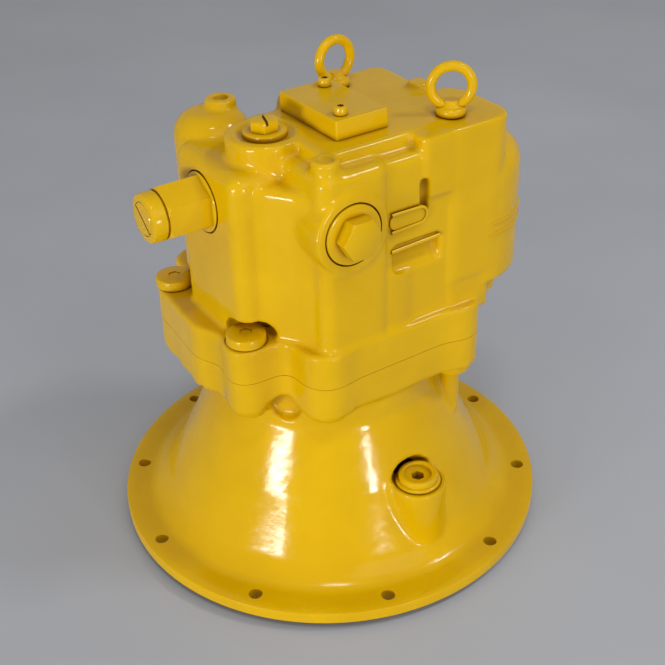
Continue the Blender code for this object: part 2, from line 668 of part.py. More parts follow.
def d_pad():
    """Low raised pad on the front wall with a round right end."""
    pad = prism(rounded_rectangle(0, 31 * MM, -6.5 * MM, 6.5 * MM, 6 * MM), 0, 8 * MM, crown=MM)
    place = at(0, CASING_WALL_Y + 9.5 * MM, TOP_Z - WALL_PAD_DROP) @ Matrix.Rotation(pi / 2, 4, "X")
    return turned(pad, place)


def front_pocket():
    """Shallow pocket under a ledge in the front wall, deep at its top and running out below."""
    pocket = prism(rounded_rectangle(1.5 * MM, 45 * MM, -10 * MM, 10 * MM, 3 * MM, 2), 0, 14 * MM)
    place = (at(0, CASING_WALL_Y + 8 * MM, TOP_Z - WALL_POCKET_DROP) @ Matrix.Rotation(radians(-22), 4, "X")
             @ Matrix.Rotation(pi / 2, 4, "X"))
    return turned(pocket, place)


# Fasteners, plugs and covers

def casing_bolts():
    seat_z = CASING_FLANGE_Z - SPOT_FACE_DEPTH + GAP
    reach = seat_z - SEAM_Z + BOLT_GRIP
    for number, (x, y) in enumerate(BOLT_PLACES):
        place = at(x * MM, y * MM, seat_z)
        if number == UPTURNED_BOLT:
            place = at(x * MM, y * MM, SEAM_Z - HEAD_T - GAP) @ Matrix.Rotation(pi, 4, "X")
        bolt = solid_of_revolution([
            (BOLT_SHANK_R, -reach), (BOLT_SHANK_R, 0), (BOLT_HEAD_R, 0),
            (BOLT_HEAD_R, BOLT_HEAD_H - MM), (BOLT_HEAD_R - MM, BOLT_HEAD_H)], 12)
        socket = prism(circle(BOLT_SOCKET_R, 6), BOLT_HEAD_H - 4 * MM, BOLT_HEAD_H + MM)
        add("casing_bolt_%d" % (number + 1), cut(bolt, socket), YELLOW, place)


def eyebolt(name, xy, facing):
    """Lifting eye; facing turns its ring about the vertical."""
    base = solid_of_revolution([
        (EYE_SHANK_R, -EYE_SHANK_LENGTH), (EYE_SHANK_R, 0), (EYE_COLLAR_R, 0),
        (EYE_COLLAR_R, EYE_COLLAR_H - MM), (EYE_COLLAR_R - MM, EYE_COLLAR_H)], 14)
    neck = prism(circle(EYE_WIRE_R * 1.6, 8), EYE_COLLAR_H - MM, EYE_COLLAR_H + 1.5 * EYE_WIRE_R)
    ring = torus(EYE_RING_R, EYE_WIRE_R, 18, 6)
    ring_z = EYE_COLLAR_H + EYE_RING_R
    ring = turned(ring, at(0, 0, ring_z) @ Matrix.Rotation(pi / 2, 4, "X"))
    place = at(xy[0], xy[1], TOP_Z + GAP) @ Matrix.Rotation(facing, 4, "Z")
    return add(name, join(base, neck, ring), YELLOW, place)


def top_cover():
    z = TOP_Z + GAP
    plate = prism(rounded_rectangle(*COVER_X, *COVER_Y, 2 * MM, 2), z, z + COVER_T, crown=0.8 * MM)
    holes = [upright(x * MM, y * MM, SCREW_SHANK_R + GAP, z - MM, z + COVER_T + MM, 12)
             for x, y in COVER_SCREWS]
    add("top_cover", cut(plate, *holes), YELLOW)
    head_z = z + COVER_T + GAP
    for number, (x, y) in enumerate(COVER_SCREWS, 1):
        screw = solid_of_revolution([
            (SCREW_SHANK_R, -COVER_T - 12 * MM), (SCREW_SHANK_R, 0), (SCREW_HEAD_R, 0),
            (SCREW_HEAD_R, SCREW_HEAD_H - 0.5 * MM), (SCREW_HEAD_R - 0.5 * MM, SCREW_HEAD_H)], 12)
        socket = prism(circle(2.5 * MM, 6), SCREW_HEAD_H - 2.5 * MM, SCREW_HEAD_H + MM)
        add("cover_screw_%d" % number, cut(screw, socket), YELLOW, at(x * MM, y * MM, head_z))


def hex_head(radius, z0, z1):
    """Hexagon with its outer corners chamfered."""
    head = prism(circle(radius, 6), z0, z1)
    trim = solid_of_revolution([(radius, z0), (radius, z1 - 2 * MM), (radius - 2.5 * MM, z1)], 18)
    return boolean(head, [trim], "INTERSECT")


def slot_cutter(radius, width, z0, z1, turn):
    half = width / 2
    outline = [(-radius, -half), (radius, -half), (radius, half), (-radius, half)]
    return turned(prism(outline, z0, z1), Matrix.Rotation(turn, 4, "Z"))


def top_plug():
    z = TOP_Z - 1.5 * MM + GAP
    body = solid_of_revolution([
        (TOP_PLUG_THREAD_R, -16 * MM), (TOP_PLUG_THREAD_R, 0), (TOP_PLUG_COLLAR_R, 0),
        (TOP_PLUG_COLLAR_R, 3 * MM), (TOP_PLUG_COLLAR_R - MM, 4 * MM)], 24)
    plug = join(body, hex_head(TOP_PLUG_HEX_R, 3 * MM, 12 * MM))
    plug = cut(plug, slot_cutter(TOP_PLUG_HEX_R + MM, 2 * MM, 9.5 * MM, 13 * MM, radians(72)))
    add("top_plug", plug, YELLOW, at(TOP_PLUG_XY[0], TOP_PLUG_XY[1], z))


def drain_plug():
    z = FLANGE_Z + DRAIN_H - 2 * MM + GAP
    body = solid_of_revolution([
        (DRAIN_THREAD_R, -20 * MM), (DRAIN_THREAD_R, 0), (DRAIN_SPOT_R - MM, 0),
        (DRAIN_SPOT_R - MM, 4 * MM), (DRAIN_SPOT_R - 2 * MM, 5 * MM)], 24)
    plug = cut(body, prism(circle(5.8 * MM, 6), -2 * MM, 6 * MM))
    add("drain_plug", plug, YELLOW, at(DRAIN_XY[0], DRAIN_XY[1], z))


def check_valve(side, where):
    """Hex plug and its poppet; local +Z points out of the casing."""
    wall = -CASING_WALL_Y if side < 0 else REAR_WALL_Y
    seat = -1.5 * MM + GAP
    end = -CHECK_THREAD_LENGTH
    face = seat + CHECK_DISC_T
    body = solid_of_revolution([
        (CHECK_THREAD_R, end), (CHECK_THREAD_R, seat), (CHECK_DISC_R, seat),
        (CHECK_DISC_R, face - MM), (CHECK_DISC_R - MM, face)])
    body = join(body, hex_head(CHECK_HEX_R, face - MM, face + CHECK_HEX_H))
    guide_depth = 19 * MM
    body = cut(body, prism(circle(CHECK_GUIDE_R, 24), end - MM, end + guide_depth))
    place = at(side * CHECK_X, side * wall, CHECK_Z) @ Matrix.Rotation(-side * pi / 2, 4, "X")
    add("check_plug_" + where, body, YELLOW, place)
    seat_z = -CHECK_CHAMBER_DEPTH
    stem_top = end + guide_depth - CHECK_TRAVEL - 2 * MM
    stem_r = CHECK_GUIDE_R - 2 * GAP
    poppet = solid_of_revolution([
        (CHECK_SEAT_R - 2 * MM, seat_z - 3 * MM), (CHECK_SEAT_R - GAP, seat_z + GAP),
        (CHECK_POPPET_R, seat_z + GAP), (CHECK_POPPET_R, seat_z + 7 * MM),
        (stem_r, seat_z + 12 * MM), (stem_r, stem_top)], 12)
    add("check_poppet_" + where, poppet, STEEL, place)


def relief_valve(side, where):
    """Cartridge body, poppet, spring and adjusting screw; local +Z points out of the casing."""
    seat = -1 * MM + GAP
    end = -RELIEF_THREAD_LENGTH
    hex_end = seat + RELIEF_HEX_LENGTH
    cap_end = hex_end + MM + RELIEF_CAP_LENGTH
    body = solid_of_revolution([
        (RELIEF_THREAD_R, end), (RELIEF_THREAD_R, seat), (RELIEF_COLLAR_R, seat),
        (RELIEF_COLLAR_R, seat + 4 * MM), (RELIEF_CAP_R - MM, seat + 6 * MM),
        (RELIEF_CAP_R - MM, hex_end + MM), (RELIEF_CAP_R, hex_end + MM),
        (RELIEF_CAP_R, cap_end - MM), (RELIEF_CAP_R - MM, cap_end)], 16)
    body = join(body, hex_head(RELIEF_HEX_R, seat + 2 * MM, hex_end))
    recess = 8 * MM
    screw_bore_r = RELIEF_SCREW_R + 3 * GAP
    bore = solid_of_revolution([
        (RELIEF_SEAT_R, end - MM), (RELIEF_SEAT_R, end + 4 * MM),
        (RELIEF_BORE_R, end + 4 * MM), (RELIEF_BORE_R, cap_end - recess),
        (screw_bore_r, cap_end - recess), (screw_bore_r, cap_end + MM)], 14)
    quarter = Matrix.Rotation(side * pi / 2, 4, "Y")
    place = at(side * -CASING_LEFT_X, RELIEF_Y[side], RELIEF_Z) @ quarter
    add("relief_body_" + where, cut(body, bore), YELLOW, place)

    head_z = cap_end - recess + GAP
    stem_end = head_z - RELIEF_SCREW_STEM
    stem_r = RELIEF_BORE_R - 2 * GAP
    screw = solid_of_revolution([(stem_r, stem_end), (stem_r, head_z), (RELIEF_SCREW_R, head_z),
                                 (RELIEF_SCREW_R, cap_end + 0.5 * MM)], 14)
    slot = slot_cutter(RELIEF_SCREW_R + MM, 1.6 * MM, cap_end - 2 * MM, cap_end + 2 * MM, radians(50))
    screw = cut(screw, slot)
    add("relief_screw_" + where, screw, YELLOW, place)

    seat_z = end + 4 * MM
    poppet_top = seat_z + 14 * MM
    poppet = solid_of_revolution([
        (RELIEF_SEAT_R - 2 * MM, seat_z - 2 * MM), (RELIEF_SEAT_R - GAP, seat_z + GAP),
        (stem_r, seat_z + GAP), (stem_r, seat_z + 6 * MM), (4 * MM, seat_z + 6 * MM), (4 * MM, poppet_top)], 10)
    add("relief_poppet_" + where, poppet, STEEL, place)
    spring = coil(6.6 * MM, 1.1 * MM, seat_z + 6 * MM + GAP, stem_end - GAP, 4, 8)
    add("relief_spring_" + where, spring, DARK_STEEL, place)


# Rotating group

def spline_circle(radius):
    """Round section with the points of the shaft's splines."""
    return toothed(radius, radius, SPLINE_TEETH, 0.4)


def drive_shaft():
    end = FLANGE_Z + SHAFT_END_H
    spline_top = end + OUTPUT_SPLINE_LENGTH
    output = toothed(OUTPUT_SPLINE_ROOT_R, OUTPUT_SPLINE_R, SPLINE_TEETH, 0.4)
    chamfer = toothed(OUTPUT_SPLINE_ROOT_R - MM, OUTPUT_SPLINE_R - 2 * MM, SPLINE_TEETH, 0.3)
    drive = toothed(BLOCK_SPLINE_ROOT_R, BLOCK_SPLINE_R, SPLINE_TEETH, 0.4)
    seal = spline_circle(SEAL_JOURNAL_R)
    bearing = spline_circle(BEARING_JOURNAL_R)
    collar = spline_circle(COLLAR_R)
    neck = spline_circle(BLOCK_SPLINE_ROOT_R)
    rear = spline_circle(REAR_JOURNAL_R)
    bearing_top = BEARING_Z + GAP + BEARING_T
    collar_top = bearing_top + GAP + 5 * MM
    shaft_top = REAR_BEARING_Z + REAR_BEARING_T
    return add("drive_shaft", stack([
        (end, chamfer), (end + 2 * MM, output), (spline_top, output), (spline_top + 2 * MM, seal),
        (BEARING_Z - 2 * MM, seal), (BEARING_Z - MM, bearing), (bearing_top + GAP, bearing),
        (bearing_top + GAP + 0.01 * MM, collar), (collar_top, collar), (collar_top + MM, neck),
        (BALL_Z - 16 * MM, neck), (BALL_Z - 15 * MM, drive), (BLOCK_TOP_Z - 8 * MM, drive),
        (BLOCK_TOP_Z - 7 * MM, rear), (shaft_top, rear)]), STEEL)


def spline_bore(z0, z1):
    """Cutter that fits the block spline of the shaft."""
    clear = GAP + 0.1 * MM
    return prism(toothed(BLOCK_SPLINE_ROOT_R + clear, BLOCK_SPLINE_R + clear, SPLINE_TEETH, 0.5), z0, z1)


def cylinder_block():
    teeth = toothed(BLOCK_R - BLOCK_TOOTH_H, BLOCK_R, BLOCK_TEETH, 0.42)
    plain = toothed(BLOCK_R - BLOCK_TOOTH_H, BLOCK_R - BLOCK_TOOTH_H, BLOCK_TEETH, 0.42)
    small = toothed(VALVE_PLATE_R - 3 * MM, VALVE_PLATE_R - 3 * MM, BLOCK_TEETH, 0.42)
    teeth_top = BRAKE_STACK_Z - BLOCK_Z + 4 * MM
    body = stack([(0, teeth), (teeth_top, teeth), (teeth_top + 2 * MM, plain),
                  (BLOCK_LENGTH - 6 * MM, plain), (BLOCK_LENGTH, small)])
    cutters = [spline_bore(-MM, BLOCK_LENGTH + MM)]
    counterbore = prism(circle(GUIDE_R, ROUND_SIDES), -MM, SPRING_POCKET)
    cutters.append(counterbore)
    for x, y in circle(PITCH_R, PISTONS):
        cutters.append(moved(prism(circle(PISTON_R + BORE_CLEARANCE, 12), -MM, BLOCK_BORE_DEPTH), x, y))
        cutters.append(moved(prism(circle(PORT_HOLE_R, 8), BLOCK_BORE_DEPTH - MM, BLOCK_LENGTH + MM), x, y))
    return add("cylinder_block", cut(body, *cutters), STEEL, at(z=BLOCK_Z))


def ball_guide():
    """Dome that carries the retainer plate and is pushed down by the block spring."""
    low, high = -12 * MM, 10 * MM
    steps = 5
    heights = [low + (high - low) * i / steps for i in range(steps + 1)]
    body = solid_of_revolution([(sqrt(GUIDE_R ** 2 - z ** 2), z) for z in heights])
    return add("ball_guide", cut(body, spline_bore(low - MM, high + MM)), STEEL, at(z=BALL_Z))


def block_spring():
    z0 = BALL_Z + 10 * MM + GAP
    z1 = BLOCK_Z + SPRING_POCKET - GAP
    spring = coil(BLOCK_SPLINE_R + 4 * MM, 2 * MM, 0, z1 - z0, 2.5, 14, 5)
    return add("block_spring", spring, DARK_STEEL, at(z=z0))


def swash_frame():
    """Frame on the tilted axis: its origin is the centre of the ball circle."""
    return at(z=BALL_Z) @ Matrix.Rotation(-TILT, 4, "Y")


def swash_plate():
    bm = ring(SWASH_BORE_R, SWASH_R, SWASH_MID_T)
    for v in bm.verts:
        if v.co.z > SWASH_MID_T / 2:
            v.co.z = SWASH_MID_T + v.co.x * tan(TILT)
    return add("swash_plate", bm, STEEL, at(z=FLOOR_Z + GAP))


def pistons_and_slippers():
    arc = [(BALL_R * cos(a), BALL_R * sin(a)) for a in (radians(d) for d in (-50, -5, 45))]
    body_z = 12 * MM
    neck = (5.2 * MM, body_z - 2 * MM)
    hollow_r = PISTON_R - 5 * MM
    piston_profile = ([(0, -BALL_R)] + arc + [neck, (PISTON_R - MM, body_z), (PISTON_R, body_z + 2 * MM),
                      (PISTON_R, PISTON_LENGTH), (hollow_r, PISTON_LENGTH), (hollow_r, body_z + 12 * MM),
                      (0, body_z + 9 * MM)])
    socket_r = BALL_R + SOCKET_CLEARANCE
    mouth = 3 * MM
    open_angle = degrees_of(mouth / socket_r)
    socket_arc = [(socket_r * cos(radians(d)), socket_r * sin(radians(d))) for d in (open_angle, -4, -31, -60)]
    base_z = -BALL_HEIGHT + SLIPPER_BASE_T
    slipper_profile = ([(0, -BALL_HEIGHT), (SLIPPER_R, -BALL_HEIGHT), (SLIPPER_R, base_z),
                        (SLIPPER_BOSS_R, base_z), (SLIPPER_BOSS_R, mouth - 2 * MM),
                        (SLIPPER_BOSS_R - MM, mouth)] + socket_arc + [(0, -socket_r)])
    frame = swash_frame()
    for i, (x, y) in enumerate(circle(RING_R, PISTONS), 1):
        centre = frame @ Vector((x, y, 0))
        add("slipper_%d" % i, lathe(slipper_profile, 10, closed=False), BRONZE, frame @ at(x, y, 0))
        add("piston_%d" % i, lathe(piston_profile, 10, closed=False), STEEL, Matrix.Translation(centre))


def degrees_of(sine):
    return atan2(sine, sqrt(1 - sine ** 2)) * 180 / pi


def retainer_plate():
    low = -BALL_HEIGHT + SLIPPER_BASE_T + GAP
    hole_r = SLIPPER_BOSS_R + MM
    plate = prism(circle(RING_R + hole_r + RETAINER_RIM, RING_SIDES), low, low + RETAINER_T)
    cutters = [prism(circle(GUIDE_R + 2 * GAP, 28), low - MM, low + RETAINER_T + MM)]
    cutters += [moved(prism(circle(hole_r, 12), low - MM, low + RETAINER_T + MM), x, y)
                for x, y in circle(RING_R, PISTONS)]
    return add("retainer_plate", cut(plate, *cutters), STEEL, swash_frame())


def arc_slot(radius, half_width, start, end, z0, z1, steps=6):
    """Cutter of a kidney-shaped slot."""
    outline = []
    for i in range(steps + 1):
        angle = start + (end - start) * i / steps
        outline.append(((radius + half_width) * cos(angle), (radius + half_width) * sin(angle)))
    for i in range(steps, -1, -1):
        angle = start + (end - start) * i / steps
        outline.append(((radius - half_width) * cos(angle), (radius - half_width) * sin(angle)))
    return prism(outline, z0, z1)


def valve_plate():
    """Kidney ports on the two sides that the tilt makes feed and return."""
    plate = ring(REAR_JOURNAL_R + 8 * MM, VALVE_PLATE_R, VALVE_PLATE_T)
    half = radians(66)
    slots = [arc_slot(PITCH_R, PORT_HOLE_R, middle - half, middle + half, -MM, VALVE_PLATE_T + MM)
             for middle in (pi / 2, -pi / 2)]
    return add("valve_plate", cut(plate, *slots), BRONZE, at(z=VALVE_PLATE_Z))


# Bearings and seals

def ring(inner, outer, height, steps=RING_SIDES):
    return lathe([(inner, 0), (outer, 0), (outer, height), (inner, height)], steps)


def roller_set(name, inner_r, roller_r, count, length, cage_t, sides, place):
    """Rollers held by two cage rings, as one piece."""
    centre_r = inner_r + GAP + roller_r
    half = roller_r * 0.35
    cage = ring(centre_r - half, centre_r + half, cage_t, count)
    other = moved(ring(centre_r - half, centre_r + half, cage_t, count), z=length - cage_t)
    rollers = [prism(circle(roller_r, sides, (x, y), start=pi / sides), cage_t * 0.4, length - cage_t * 0.4)
               for x, y in circle(centre_r, count)]
    return add(name, join(cage, other, *rollers), STEEL, place)


def front_bearing():
    place = at(z=BEARING_Z + GAP)
    bore = BEARING_JOURNAL_R + GAP
    inner_r = bore + BEARING_INNER_RACE_T
    add("front_bearing_outer", ring(BEARING_OUTER_R - BEARING_RACE_T, BEARING_OUTER_R, BEARING_T), STEEL, place)
    add("front_bearing_inner", ring(bore, inner_r, BEARING_T), STEEL, place)
    roller_set("front_bearing_rollers", inner_r, ROLLER_R, ROLLERS, BEARING_T - 2 * MM, 2.5 * MM, 8,
               at(z=BEARING_Z + GAP + MM))


def rear_bearing():
    add("rear_bearing_outer", ring(REAR_OUTER_R - REAR_RACE_T, REAR_OUTER_R, REAR_BEARING_T), STEEL,
        at(z=REAR_BEARING_Z))
    roller_set("rear_bearing_needles", REAR_JOURNAL_R + GAP, NEEDLE_R, NEEDLES, REAR_BEARING_T - 2 * MM,
               2 * MM, 6, at(z=REAR_BEARING_Z + MM))


def shaft_seal():
    lip = SEAL_JOURNAL_R + 2 * GAP
    seal = lathe([(lip, 0), (SEAL_R, 0), (SEAL_R, SEAL_T), (SEAL_R - 4 * MM, SEAL_T),
                  (SEAL_R - 4 * MM, 2.5 * MM), (lip + 3 * MM, 2.5 * MM), (lip, 6 * MM)], 24)
    return add("shaft_seal", seal, RUBBER, at(z=HUB_Z + SEAL_SHELF_T + GAP))


def casing_o_ring():
    z = SEAM_Z - 2 * O_RING_WIRE_R + 0.8 * GAP + O_RING_WIRE_R
    return add("casing_o_ring", torus(O_RING_R, O_RING_WIRE_R, RING_SIDES, 4), RUBBER, at(z=z))


# Parking brake

def separator_plate(number, z):
    plate = ring(SEPARATOR_INNER_R, BRAKE_BORE_R - 2 * GAP, PLATE_T, WIDE_SIDES)
    add("separator_plate_%d" % number, plate, DARK_STEEL, at(z=z))


def brake():
    z = LEDGE_Z + GAP
    separator_plate(1, z)
    z += PLATE_T + GAP
    disc = prism(circle(FRICTION_OUTER_R, WIDE_SIDES), 0, FRICTION_T)
    tip_r = BLOCK_R + 2 * GAP
    opening = prism(toothed(tip_r - BLOCK_TOOTH_H, tip_r, BLOCK_TEETH, 0.55), -MM, FRICTION_T + MM)
    add("friction_plate", cut(disc, opening), FRICTION, at(z=z))
    z += FRICTION_T + GAP
    separator_plate(2, z)
    z += PLATE_T + GAP
    spring_z = PORT_FACE_Z - GAP - BRAKE_SPRING_T - BRAKE_SPRING_RISE
    height = spring_z - GAP - z
    outer = BRAKE_BORE_R - GAP
    piston = lathe([(BRAKE_PISTON_INNER_R, 0), (outer - 4 * MM, 0), (outer - 4 * MM, 8 * MM), (outer, 10 * MM),
                    (outer, height), (BRAKE_PISTON_INNER_R, height)], WIDE_SIDES)
    add("brake_piston", piston, STEEL, at(z=z))
    inner, outer = VALVE_PLATE_R + 3 * MM, BRAKE_BORE_R - 1.5 * MM
    rise = BRAKE_SPRING_RISE
    spring = lathe([(inner, rise), (outer, 0), (outer, BRAKE_SPRING_T), (inner, rise + BRAKE_SPRING_T)],
                   RING_SIDES)
    add("brake_spring", spring, DARK_STEEL, at(z=spring_z))


def build():
    for piece in list(bpy.data.objects):
        bpy.data.objects.remove(piece)
    bell_housing()
    valve_casing()
    casing_o_ring()
    casing_bolts()
    eyebolt("eyebolt_right", EYE_RIGHT_XY, radians(-33))
    eyebolt("eyebolt_rear", EYE_REAR_XY, radians(4))
    top_cover()
    top_plug()
    drain_plug()
    for side, where in ((-1, "front"), (1, "rear")):
        check_valve(side, where)
    for side, where in ((-1, "left"), (1, "right")):
        relief_valve(side, where)
    drive_shaft()
    cylinder_block()
    ball_guide()
    block_spring()
    swash_plate()
    pistons_and_slippers()
    retainer_plate()
    valve_plate()
    front_bearing()
    rear_bearing()
    shaft_seal()
    brake()


build()
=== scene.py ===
"""Looks of the axial piston swing motor: fine castings, fittings, finishes, floor, light and camera.

Sizes are in millimetres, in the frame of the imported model: the origin is on the shaft's axis, level with the
bottom of the pilot spigot. Heights in the lists of casting forms start from the mounting flange's underside.
"""
import json
from math import cos, sin, pi, radians, sqrt

import bmesh
import bpy
from mathutils import Matrix, Vector


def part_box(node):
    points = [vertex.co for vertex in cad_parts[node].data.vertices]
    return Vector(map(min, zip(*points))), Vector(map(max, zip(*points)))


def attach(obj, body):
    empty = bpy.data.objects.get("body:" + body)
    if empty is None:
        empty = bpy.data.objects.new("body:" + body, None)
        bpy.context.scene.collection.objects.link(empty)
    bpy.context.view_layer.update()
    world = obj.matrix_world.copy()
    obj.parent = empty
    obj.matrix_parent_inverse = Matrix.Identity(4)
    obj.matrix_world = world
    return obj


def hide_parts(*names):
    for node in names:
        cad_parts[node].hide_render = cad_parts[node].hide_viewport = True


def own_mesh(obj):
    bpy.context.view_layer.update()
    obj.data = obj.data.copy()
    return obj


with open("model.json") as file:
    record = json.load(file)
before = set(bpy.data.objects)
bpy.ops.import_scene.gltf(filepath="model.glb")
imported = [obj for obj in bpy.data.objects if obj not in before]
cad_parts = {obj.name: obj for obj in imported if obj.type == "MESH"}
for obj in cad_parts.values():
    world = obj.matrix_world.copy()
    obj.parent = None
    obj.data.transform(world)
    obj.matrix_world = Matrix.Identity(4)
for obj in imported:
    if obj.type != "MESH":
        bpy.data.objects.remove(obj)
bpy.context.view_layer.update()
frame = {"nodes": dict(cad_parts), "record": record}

MM = 0.001
GAP = 0.3
SEAM_WIDTH = 1.2
ROUND = 64
WIDE_ROUND = 144

# Mounting flange and bell housing
FLANGE_Z = 6
FLANGE_T = 10
FLANGE_R = 180
SPIGOT_R = 150
CONE_FOOT_R = 146
CONE_WAIST_R = 116.5
CONE_TOP_R = 100
CONE_H = 104
NECK_R = 96
SEAM_Z = 178
HEAD_T = 28
HEAD_BASE_R = 97
LOBE_FOOT = 6
ARCH_AZIMUTH = -143
ARCH_R = 13
ARCH_H = 140
ARCH_DEPTH_R = 87
LUG_X = (62, 79)
LUG_Y = (-84, -60)
HUB_Z = FLANGE_Z + 50
BEARING_Z = FLANGE_Z + 74
CEILING_Z = FLANGE_Z + 88
CASE_FLOOR_Z = FLANGE_Z + 104
SHAFT_HOLE_R = 28
SEAL_BORE_R = 36 + GAP
BEARING_BORE_R = 50 + GAP
CASE_BORE_R = 74
BRAKE_BORE_R = 82.5
BRAKE_BORE_DEPTH = 6
RING_GROOVE_R = (87.2, 90.8)
RING_GROOVE_DEPTH = 3
FLANGE_HOLES = 10
FLANGE_HOLE_PCR = 167
FLANGE_HOLE_R = 5.5

# Valve casing
CASING_Z = SEAM_Z + GAP
CASING_FLANGE_T = 28
CASING_FLANGE_Z = CASING_Z + CASING_FLANGE_T
TOP = 346
TOP_Z = FLANGE_Z + TOP
CHECK_Z = FLANGE_Z + 293
RELIEF_Z = FLANGE_Z + 298
CASING_WALL_Y = -95
REAR_WALL_Y = 92
CASING_LEFT_X = -100
PORT_FACE_Z = FLANGE_Z + 236.6
BARREL_R = 93.5
RIGHT_POST = (95, -40.5, 53)
RIGHT_RIMS = (251.5, 260.5)

# Front wall; heights start from the flange's underside
PAD_X = (-2, 31)
PAD_H = (282, 295)
PAD_BEAD_R = 1.2
LEDGE_BEAD_R = 1.5
SLOT_X = (26.5, 32.5)
SLOT_H = (287, 315)
POCKET_X = (2, 45)
POCKET_MIDDLE_H = 253
POCKET_HALF_H = 10
POCKET_SLOPE = 33

# Casing bolts
BOLT_PLACES = ((-95.5, -41), (-99, 67), (67, -83), (100, 8), (72, 82), (-14, 108))
LOBE_RADII = (19, 15.5, 20.5, 21, 21, 21)
SIDE_LOBES = [(-50, -78, 22), (-60, 92, 24), (30, 96, 24), (94, 48, 24)]
FLAT_SIDES = (((-57, -97), (74, -97)), ((-119, -1), (-113, 66)), ((-119, -1), (-106, -27)))
UPTURNED_BOLT = 2
BOLT_SHANK_R = 8
BOLT_HEAD_R = 15
BOLT_HEAD_H = 8
BOLT_GRIP = 24
SPOT_FACE_R = 23
SPOT_FACE_DEPTH = 0.6

# Fittings
COVER_X = (-24.5, 19.5)
COVER_Y = (-61, 13)
COVER_T = 14
COVER_SCREWS = ((-14, -51), (8, 2))
COVER_SCREW_HOLE_R = 3.1
TOP_PLUG_XY = (-55.5, -17)
TOP_PLUG_THREAD_R = 10
TOP_PLUG_COLLAR_R = 16
TOP_PLUG_SINK = 1.5
TOP_SPOT_R = 22
COLUMN_BOSS = (-48, -82)
LOBE_BOSS = (-51, 55)
EYE_PLACES = {"eyebolt_right": ((69, -69), -33), "eyebolt_rear": ((36, 30), 4)}
EYE_THREAD_R = 4
EYE_RING_R = 14.75
EYE_WIRE_R = 3.75
EYE_COLLAR_R = 11
EYE_COLLAR_H = 6
COLLAR_CUT = 2.5
CHECK_SEAT = 1.5
CHECK_X = 36
CHECK_BOSS_R = 30
CHECK_DISC_R = 22.5
CHECK_DISC_T = 4.5
CHECK_THREAD_R = 17
CHECK_HEX_R = 16
CHECK_HEX_H = 11
RELIEF_SEAT = 1
RELIEF_Y = {-1: 2, 1: 18}
RELIEF_THREAD_R = 13
RELIEF_COLLAR_R = 22.5
RELIEF_HEX_R = 21.5
RELIEF_HEX_LENGTH = 35
RELIEF_CAP_R = 18.3
RELIEF_CAP_LENGTH = 11
RELIEF_SCREW_R = 12.5
DRAIN_XY = (5, -121)
DRAIN_TOP_Z = FLANGE_Z + 73.5
DRAIN_SINK = 2
DRAIN_BOSS_R = 22.5
DRAIN_NOTCH_R = 21
DRAIN_COLLAR_R = 18
DRAIN_HEAD_R = 15.6
DRAIN_THREAD_R = 9
PORT_X = 42
PORT_Z = FLANGE_Z + 245
PORT_R = 13.5
PORT_PAD_R = 23
PORT_PAD_PROUD = 2
PORT_FACE_Y = 112

# Springs
BRAKE_SPRING_R = (71.5, 81)
BRAKE_SPRING_T = 2.5
BRAKE_SPRING_H = 12.3
RELIEF_SPRING_R = 6.6
RELIEF_WIRE_R = 1.1
RELIEF_TURNS = 9


# Meshes

def lathe(profile, steps=ROUND, closed=True):
    """Turned piece: profile points are (radius, height) in millimetres."""
    bm = bmesh.new()
    verts = [bm.verts.new((r * MM, 0, z * MM)) for r, z in profile]
    edges = [bm.edges.new(pair) for pair in zip(verts, verts[1:])]
    if closed:
        edges.append(bm.edges.new((verts[-1], verts[0])))
    bmesh.ops.spin(bm, geom=verts + edges, cent=(0, 0, 0), axis=(0, 0, 1),
                   angle=2 * pi, steps=steps, use_merge=True)
    bmesh.ops.remove_doubles(bm, verts=bm.verts, dist=1e-7)
    bmesh.ops.recalc_face_normals(bm, faces=bm.faces)
    return bm


def turned_solid(profile, steps=ROUND):
    """Turned piece without a bore."""
    return lathe([(0, profile[0][1])] + list(profile) + [(0, profile[-1][1])], steps, closed=False)


def prism(outline, z0, z1, crown=0.0, segments=4):
    """Extruded outline; crown is the radius of its rounded top edge."""
    bm = bmesh.new()
    face = bm.faces.new([bm.verts.new((x * MM, y * MM, z0 * MM)) for x, y in outline])
    grown = bmesh.ops.extrude_face_region(bm, geom=[face])
    top = [v for v in grown["geom"] if isinstance(v, bmesh.types.BMVert)]
    bmesh.ops.translate(bm, verts=top, vec=(0, 0, (z1 - z0) * MM))
    bmesh.ops.recalc_face_normals(bm, faces=bm.faces)
    if crown > 0:
        rim = [e for e in bm.edges if all(v in top for v in e.verts)]
        bmesh.ops.bevel(bm, geom=rim, offset=crown * MM, segments=segments, profile=0.5, affect="EDGES",
                        clamp_overlap=True)
    return bm


def circle(radius, steps=ROUND, centre=(0, 0), start=0.0):
    return [(centre[0] + radius * cos(start + 2 * pi * i / steps),
             centre[1] + radius * sin(start + 2 * pi * i / steps)) for i in range(steps)]


def rounded_rectangle(x0, x1, y0, y1, radius, steps=8):
    points = []
    corners = ((x1 - radius, y0 + radius, -pi / 2), (x1 - radius, y1 - radius, 0),
               (x0 + radius, y1 - radius, pi / 2), (x0 + radius, y0 + radius, pi))
    for cx, cy, start in corners:
        for i in range(steps + 1):
            angle = start + pi / 2 * i / steps
            points.append((cx + radius * cos(angle), cy + radius * sin(angle)))
    return points


def bar(radius, a, b, steps=ROUND):
    """Round bar between two points."""
    a, b = Vector(a), Vector(b)
    bm = prism(circle(radius, steps, start=pi / steps), 0, (b - a).length)
    turn = (b - a).to_track_quat("Z", "Y").to_matrix().to_4x4()
    return placed(bm, at(*a) @ turn)


